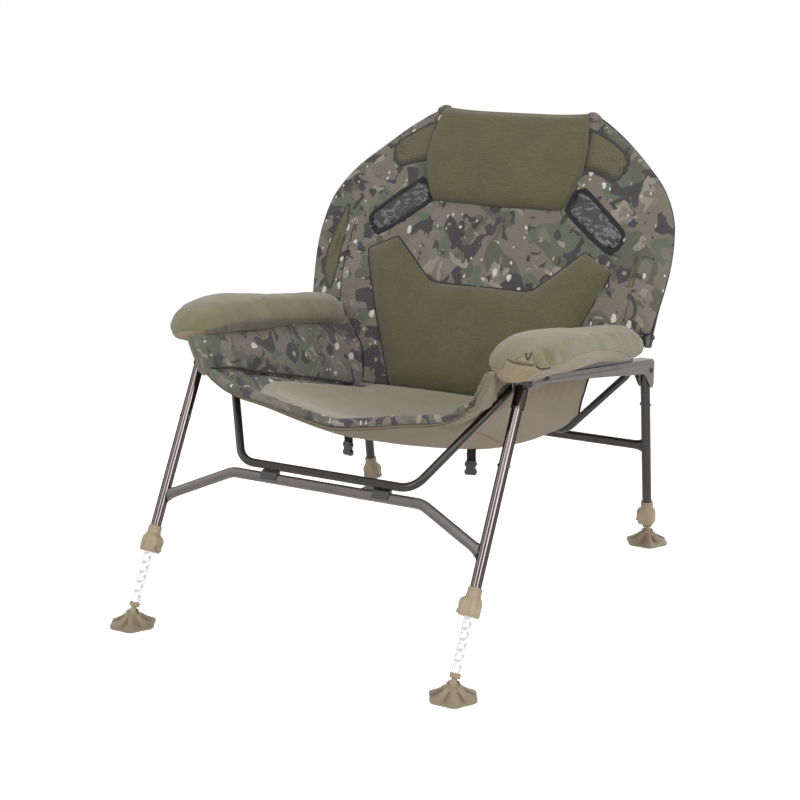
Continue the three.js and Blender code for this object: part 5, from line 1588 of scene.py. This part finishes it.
PAD_PLACES += [0.875, 0.89, 0.905, 0.92, 0.934, 0.947, 0.958, 0.968, 0.976, 0.983, 0.989, 0.993, 0.996, 0.998,
               0.9995]
# How much the underside rises above the rail's plate on the outer and on the inner side
PAD_OUTER_RISE = [(0, 0), (0.07, 6), (0.2, 9), (0.3, 13), (0.45, 10), (0.72, 7), (1, 4)]
PAD_INNER_RISE = [(0, 4), (0.1, 10), (0.35, 9), (0.75, 0), (1, 0)]
# The plain cloth reaches this far above the plate on the outer and on the inner side
PLAIN_OUTER = [(0, 28), (0.074, 27), (0.2, 31), (0.3, 41), (0.41, 43), (0.55, 33), (0.72, 19), (0.85, 9),
               (1, 0)]
PLAIN_INNER = [(0, 14), (0.06, 16), (0.12, 6), (0.2, -10), (1, -10)]
# Folds pinched in at the front end: depth, angle, half width
PAD_PINCHES = ((5.5, 0.35, 0.16), (3.4, 2.7, 0.22), (2.6, 3.6, 0.12))
# Creases across the outer side: depth, place along, half width, angle, half width
PAD_CREASES = ((5.0, 0.10, 0.014, 0.5, 0.4), (2.6, 0.17, 0.02, 0.25, 0.3))
# Patches of plain cloth on the front end: out from the pad's middle, and up
PAD_PATCHES = [[(-7, 555), (40, 546), (30, 505), (-13, 505)], [(10, 557), (30, 568), (38, 557), (43, 549)]]
PATCHED_TO = -225
# Cords along the patches, and the radius of each
PAD_STITCHES = [
    ([(-6, 556), (12, 553), (40, 547.5)], 0.9),
    ([(22, 566), (30, 557), (30, 566)], 1.5),
    ([(43, 547), (50, 541), (57, 539)], 1.5),
]


def pad_heights(y, v):
    """The heights of a pad's underside, greatest width and top, that far along it."""
    low = plate_top(y) + 1.5 + 6 * (1 - crown(v, 8)) - 19 * math.exp(-v / 0.07)
    high = rail_top(y) + PAD_HIGH * table(PAD_TOP, v)
    return low, mix(low, high, 0.42), high


def pad_relief(v, angle):
    """Folds pinched in at the front end, and creases behind them."""
    level = 0.0
    if v < 0.35:
        fade = bell(v, 0.11)
        level += fade * (1.8 * math.sin(6 * angle + 24 * v)
                         - sum(depth * bell(angle - at, width) for depth, at, width in PAD_PINCHES))
    return level - sum(depth * bell(v - along, long) * bell(angle - at, width)
                       for depth, along, long, at, width in PAD_CREASES)


def arm_point(v, angle, side):
    """A place on the arm pad: v runs from front to rear, and the angle round it from its outer side."""
    y = mix(PAD_FRONT, PAD_REAR, v)
    size = table(PAD_HALF, v)
    low, middle, high = pad_heights(y, v)
    c, s = math.cos(angle), math.sin(angle)
    power = 2.2 if s > 0 else 2.8
    reach = (abs(c) ** power + abs(s) ** power) ** (-1 / power)
    x = PAD_WIDE * size * reach * c
    z = middle + reach * s * ((high - middle) if s > 0 else (middle - low))
    if s < 0:
        rise = table(PAD_OUTER_RISE if x > 0 else PAD_INNER_RISE, v)
        z = min(middle, z + rise * smooth(abs(x) / 50))
    swell = pad_relief(v, angle) + 1.5 * ripple(x, y, z, 75, 2.4) + 1.1 * ripple(x, y, z, 30, 9.2)
    return Vector((side * (PAD_X + x + swell * c * size), y, z + swell * s * size))


def inside(points, x, y):
    """Whether a place lies within an outline."""
    crossings = 0
    for (ax, ay), (bx, by) in zip(points, points[1:] + points[:1]):
        if (ay > y) != (by > y) and x < ax + (y - ay) * (bx - ax) / (by - ay):
            crossings += 1
    return crossings % 2 == 1


def suede_share(out, y, z, patched):
    """How far above the border of the plain cloth a place is: suede where this is over zero."""
    v = (y - PAD_FRONT) / (PAD_REAR - PAD_FRONT)
    outer = table(PLAIN_OUTER, v) * (1 if patched else smooth(v / 0.15))
    gap = z - plate_top(y) - mix(table(PLAIN_INNER, v), outer, smooth((out + 20) / 60))
    if patched and y < PATCHED_TO:
        for points in PAD_PATCHES:
            away = distance_to(polyline(points, True), out, z)
            gap = min(gap, -away if inside(points, out, z) else away)
    return gap


def arm_piece(obj, *nodes):
    """A part of an arm pad: it rides on the seat frame, with a mesh of its own."""
    piece(obj, "seat_frame", *nodes)
    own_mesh(obj)


def on_front(pad, x, z):
    """The place on the front of a pad at this distance across and this height."""
    start = WORLD @ Vector((x, PAD_FRONT - 60, z)) * MM
    found, hit = pad.ray_cast(start, (0, 1, 0))[:2]
    return WORLD.inverted() @ (hit / MM) if found else None


def arm_pad(word, side):
    rings = [[arm_point(v, angle, side) for angle in angles(96)] for v in PAD_PLACES]
    pad = loft(f"arm_pad_{word}", rings, ARM_CLOTH)
    puffed(pad, 6)
    # only the left pad has its patches and their cords in sight
    patched = side > 0
    border = pad.data.attributes.new("border", "FLOAT", "POINT")
    for vertex in pad.data.vertices:
        x, y, z = vertex.co / MM
        border.data[vertex.index].value = 0.5 + 0.05 * suede_share(abs(x) - PAD_X, y - SHIFT, z, patched)
    arm_piece(pad, f"arm_pad_{word}")
    for k, (line, radius) in enumerate(PAD_STITCHES if patched else ()):
        path = [on_front(pad, side * (PAD_X + p.x), p.y) for p in smoothed(line)]
        path = [p for p in path if p]
        arm_piece(sweep(f"arm_stitch_{word}_{k}", path, circle(radius, 8), PIPING, up=Vector((0, -1, 0))))


# Straps and buckles under the seat

STRAP_X, STRAP_TOP, STRAP_THICK, STRAP_WIDE = 140, 300, 1.8, 20
STRAP_PATH = [(0, 2.5, 4), (0, 1.5, -4), (0, 0, -14), (1.5, -1.5, -27)]
BUCKLE_AT, BUCKLE_TURN = (-1.5, STRAP_TOP - 25), 0.25
# Half of the buckle's outline and of its ridge's, each with its width and the rounding of its edges
BUCKLE_PARTS = (
    ([(8.6, 0), (11.5, -5), (12.4, -9), (9.4, -14), (9.0, -17), (12.2, -21.5), (12.4, -25), (10.4, -30)],
     8.6, 1.3),
    ([(6, -5), (4.6, -13)], 10.4, 0.8),
)


def strap_and_buckle(word, side):
    path = [(side * STRAP_X + x, y, STRAP_TOP + z) for x, y, z in STRAP_PATH]
    section = oval(STRAP_THICK, STRAP_WIDE, 4)
    tape = sweep(f"strap_{word}", smoothed(path, 5), section, WEBBING, up=Vector((1, 0, 0)))
    seat_piece(tape, f"strap_{word}")
    matrix = place(*BUCKLE_AT) @ sideways(side * STRAP_X) @ Matrix.Rotation(side * BUCKLE_TURN, 4, "Z") @ TO_Y
    parts = [prism("buckle", half + mirrored(half[::-1]), width, 0, BLACK_PLASTIC, matrix, edge)
             for half, width, edge in BUCKLE_PARTS]
    seat_piece(join(f"buckle_{word}", *parts), f"buckle_{word}")


def both_sides(*builders):
    for build in builders:
        for word, side in SIDES:
            build(word, side)


both_sides(arm_pad, strap_and_buckle)


# Studio

WORLD_LIGHT = 0.55
FLOOR_GLOW = 0.40
FLOOR_FULL, FLOOR_GONE = 0.9, 2.2
LAMP_TARGET = (0, 0, 0.45)
LAMPS = (  # name, place, size, power
    ("Key", (1.6, -2.2, 3.4), (2.6, 2.0), 72),
    ("Fill", (-3.2, -1.8, 2.0), (2.4, 2.4), 26),
    ("Rim", (0.6, 3.2, 2.6), (3.0, 1.6), 60),
    ("Side box", (2.9, -1.8, 1.75), (1.5, 1.0), 46),
    ("Front box", (-0.3, -3.5, 2.5), (1.2, 1.2), 38),
)
WHITE = (1, 1, 1)


def world_light():
    world = bpy.data.worlds.new("Studio")
    bpy.context.scene.world = world
    graph = Graph(world)
    background = graph.nodes["Background"]
    graph.feed(background.inputs["Color"], WHITE)
    graph.feed(background.inputs["Strength"], WORLD_LIGHT)
    bright = graph.node("ShaderNodeBackground", {"Color": WHITE, "Strength": 1.0})
    mixed = graph.either(graph.shown(), background.outputs[0], bright)
    graph.feed(graph.nodes["World Output"].inputs["Surface"], mixed)


def studio_lamp(name, at, size, power):
    data = bpy.data.lights.new(name, "AREA")
    data.shape = "RECTANGLE"
    data.size, data.size_y = size
    data.energy = power
    lamp = bpy.data.objects.new(name, data)
    bpy.context.scene.collection.objects.link(lamp)
    lamp.location = at
    lamp.rotation_euler = (Vector(LAMP_TARGET) - Vector(at)).to_track_quat("-Z", "Y").to_euler()


def floor():
    """A pale floor that shows as white and keeps the soft shadow. Away from the chair it thins out."""
    look = Look("Studio floor", (0.93, 0.93, 0.93), 0.9)
    plain = look.main.outputs[0]
    glow = look.node("ShaderNodeEmission", {"Color": WHITE, "Strength": FLOOR_GLOW})
    lit = look.either(look.shown(), plain, look.node("ShaderNodeAddShader", {0: plain, 1: glow}))
    away = look.node("ShaderNodeVectorMath", {0: look.at}, "Value", operation="LENGTH")
    inputs = {"From Min": FLOOR_FULL, "From Max": FLOOR_GONE, "Value": away}
    reach = look.node("ShaderNodeMapRange", inputs, "Result")
    faded = look.either(reach, lit, look.node("ShaderNodeBsdfTransparent", {}))
    look.feed(look.nodes["Material Output"].inputs["Surface"], faded)
    mesh = bpy.data.meshes.new("floor")
    corners = [(x * FLOOR_GONE, y * FLOOR_GONE, 0) for x, y in ((-1, -1), (1, -1), (1, 1), (-1, 1))]
    mesh.from_pydata(corners, [], [(0, 1, 2, 3)])
    mesh.materials.append(look.material)
    obj = bpy.data.objects.new("floor", mesh)
    bpy.context.scene.collection.objects.link(obj)


world_light()
for lamp in LAMPS:
    studio_lamp(*lamp)
floor()
bpy.context.scene.view_settings.view_transform = "Standard"
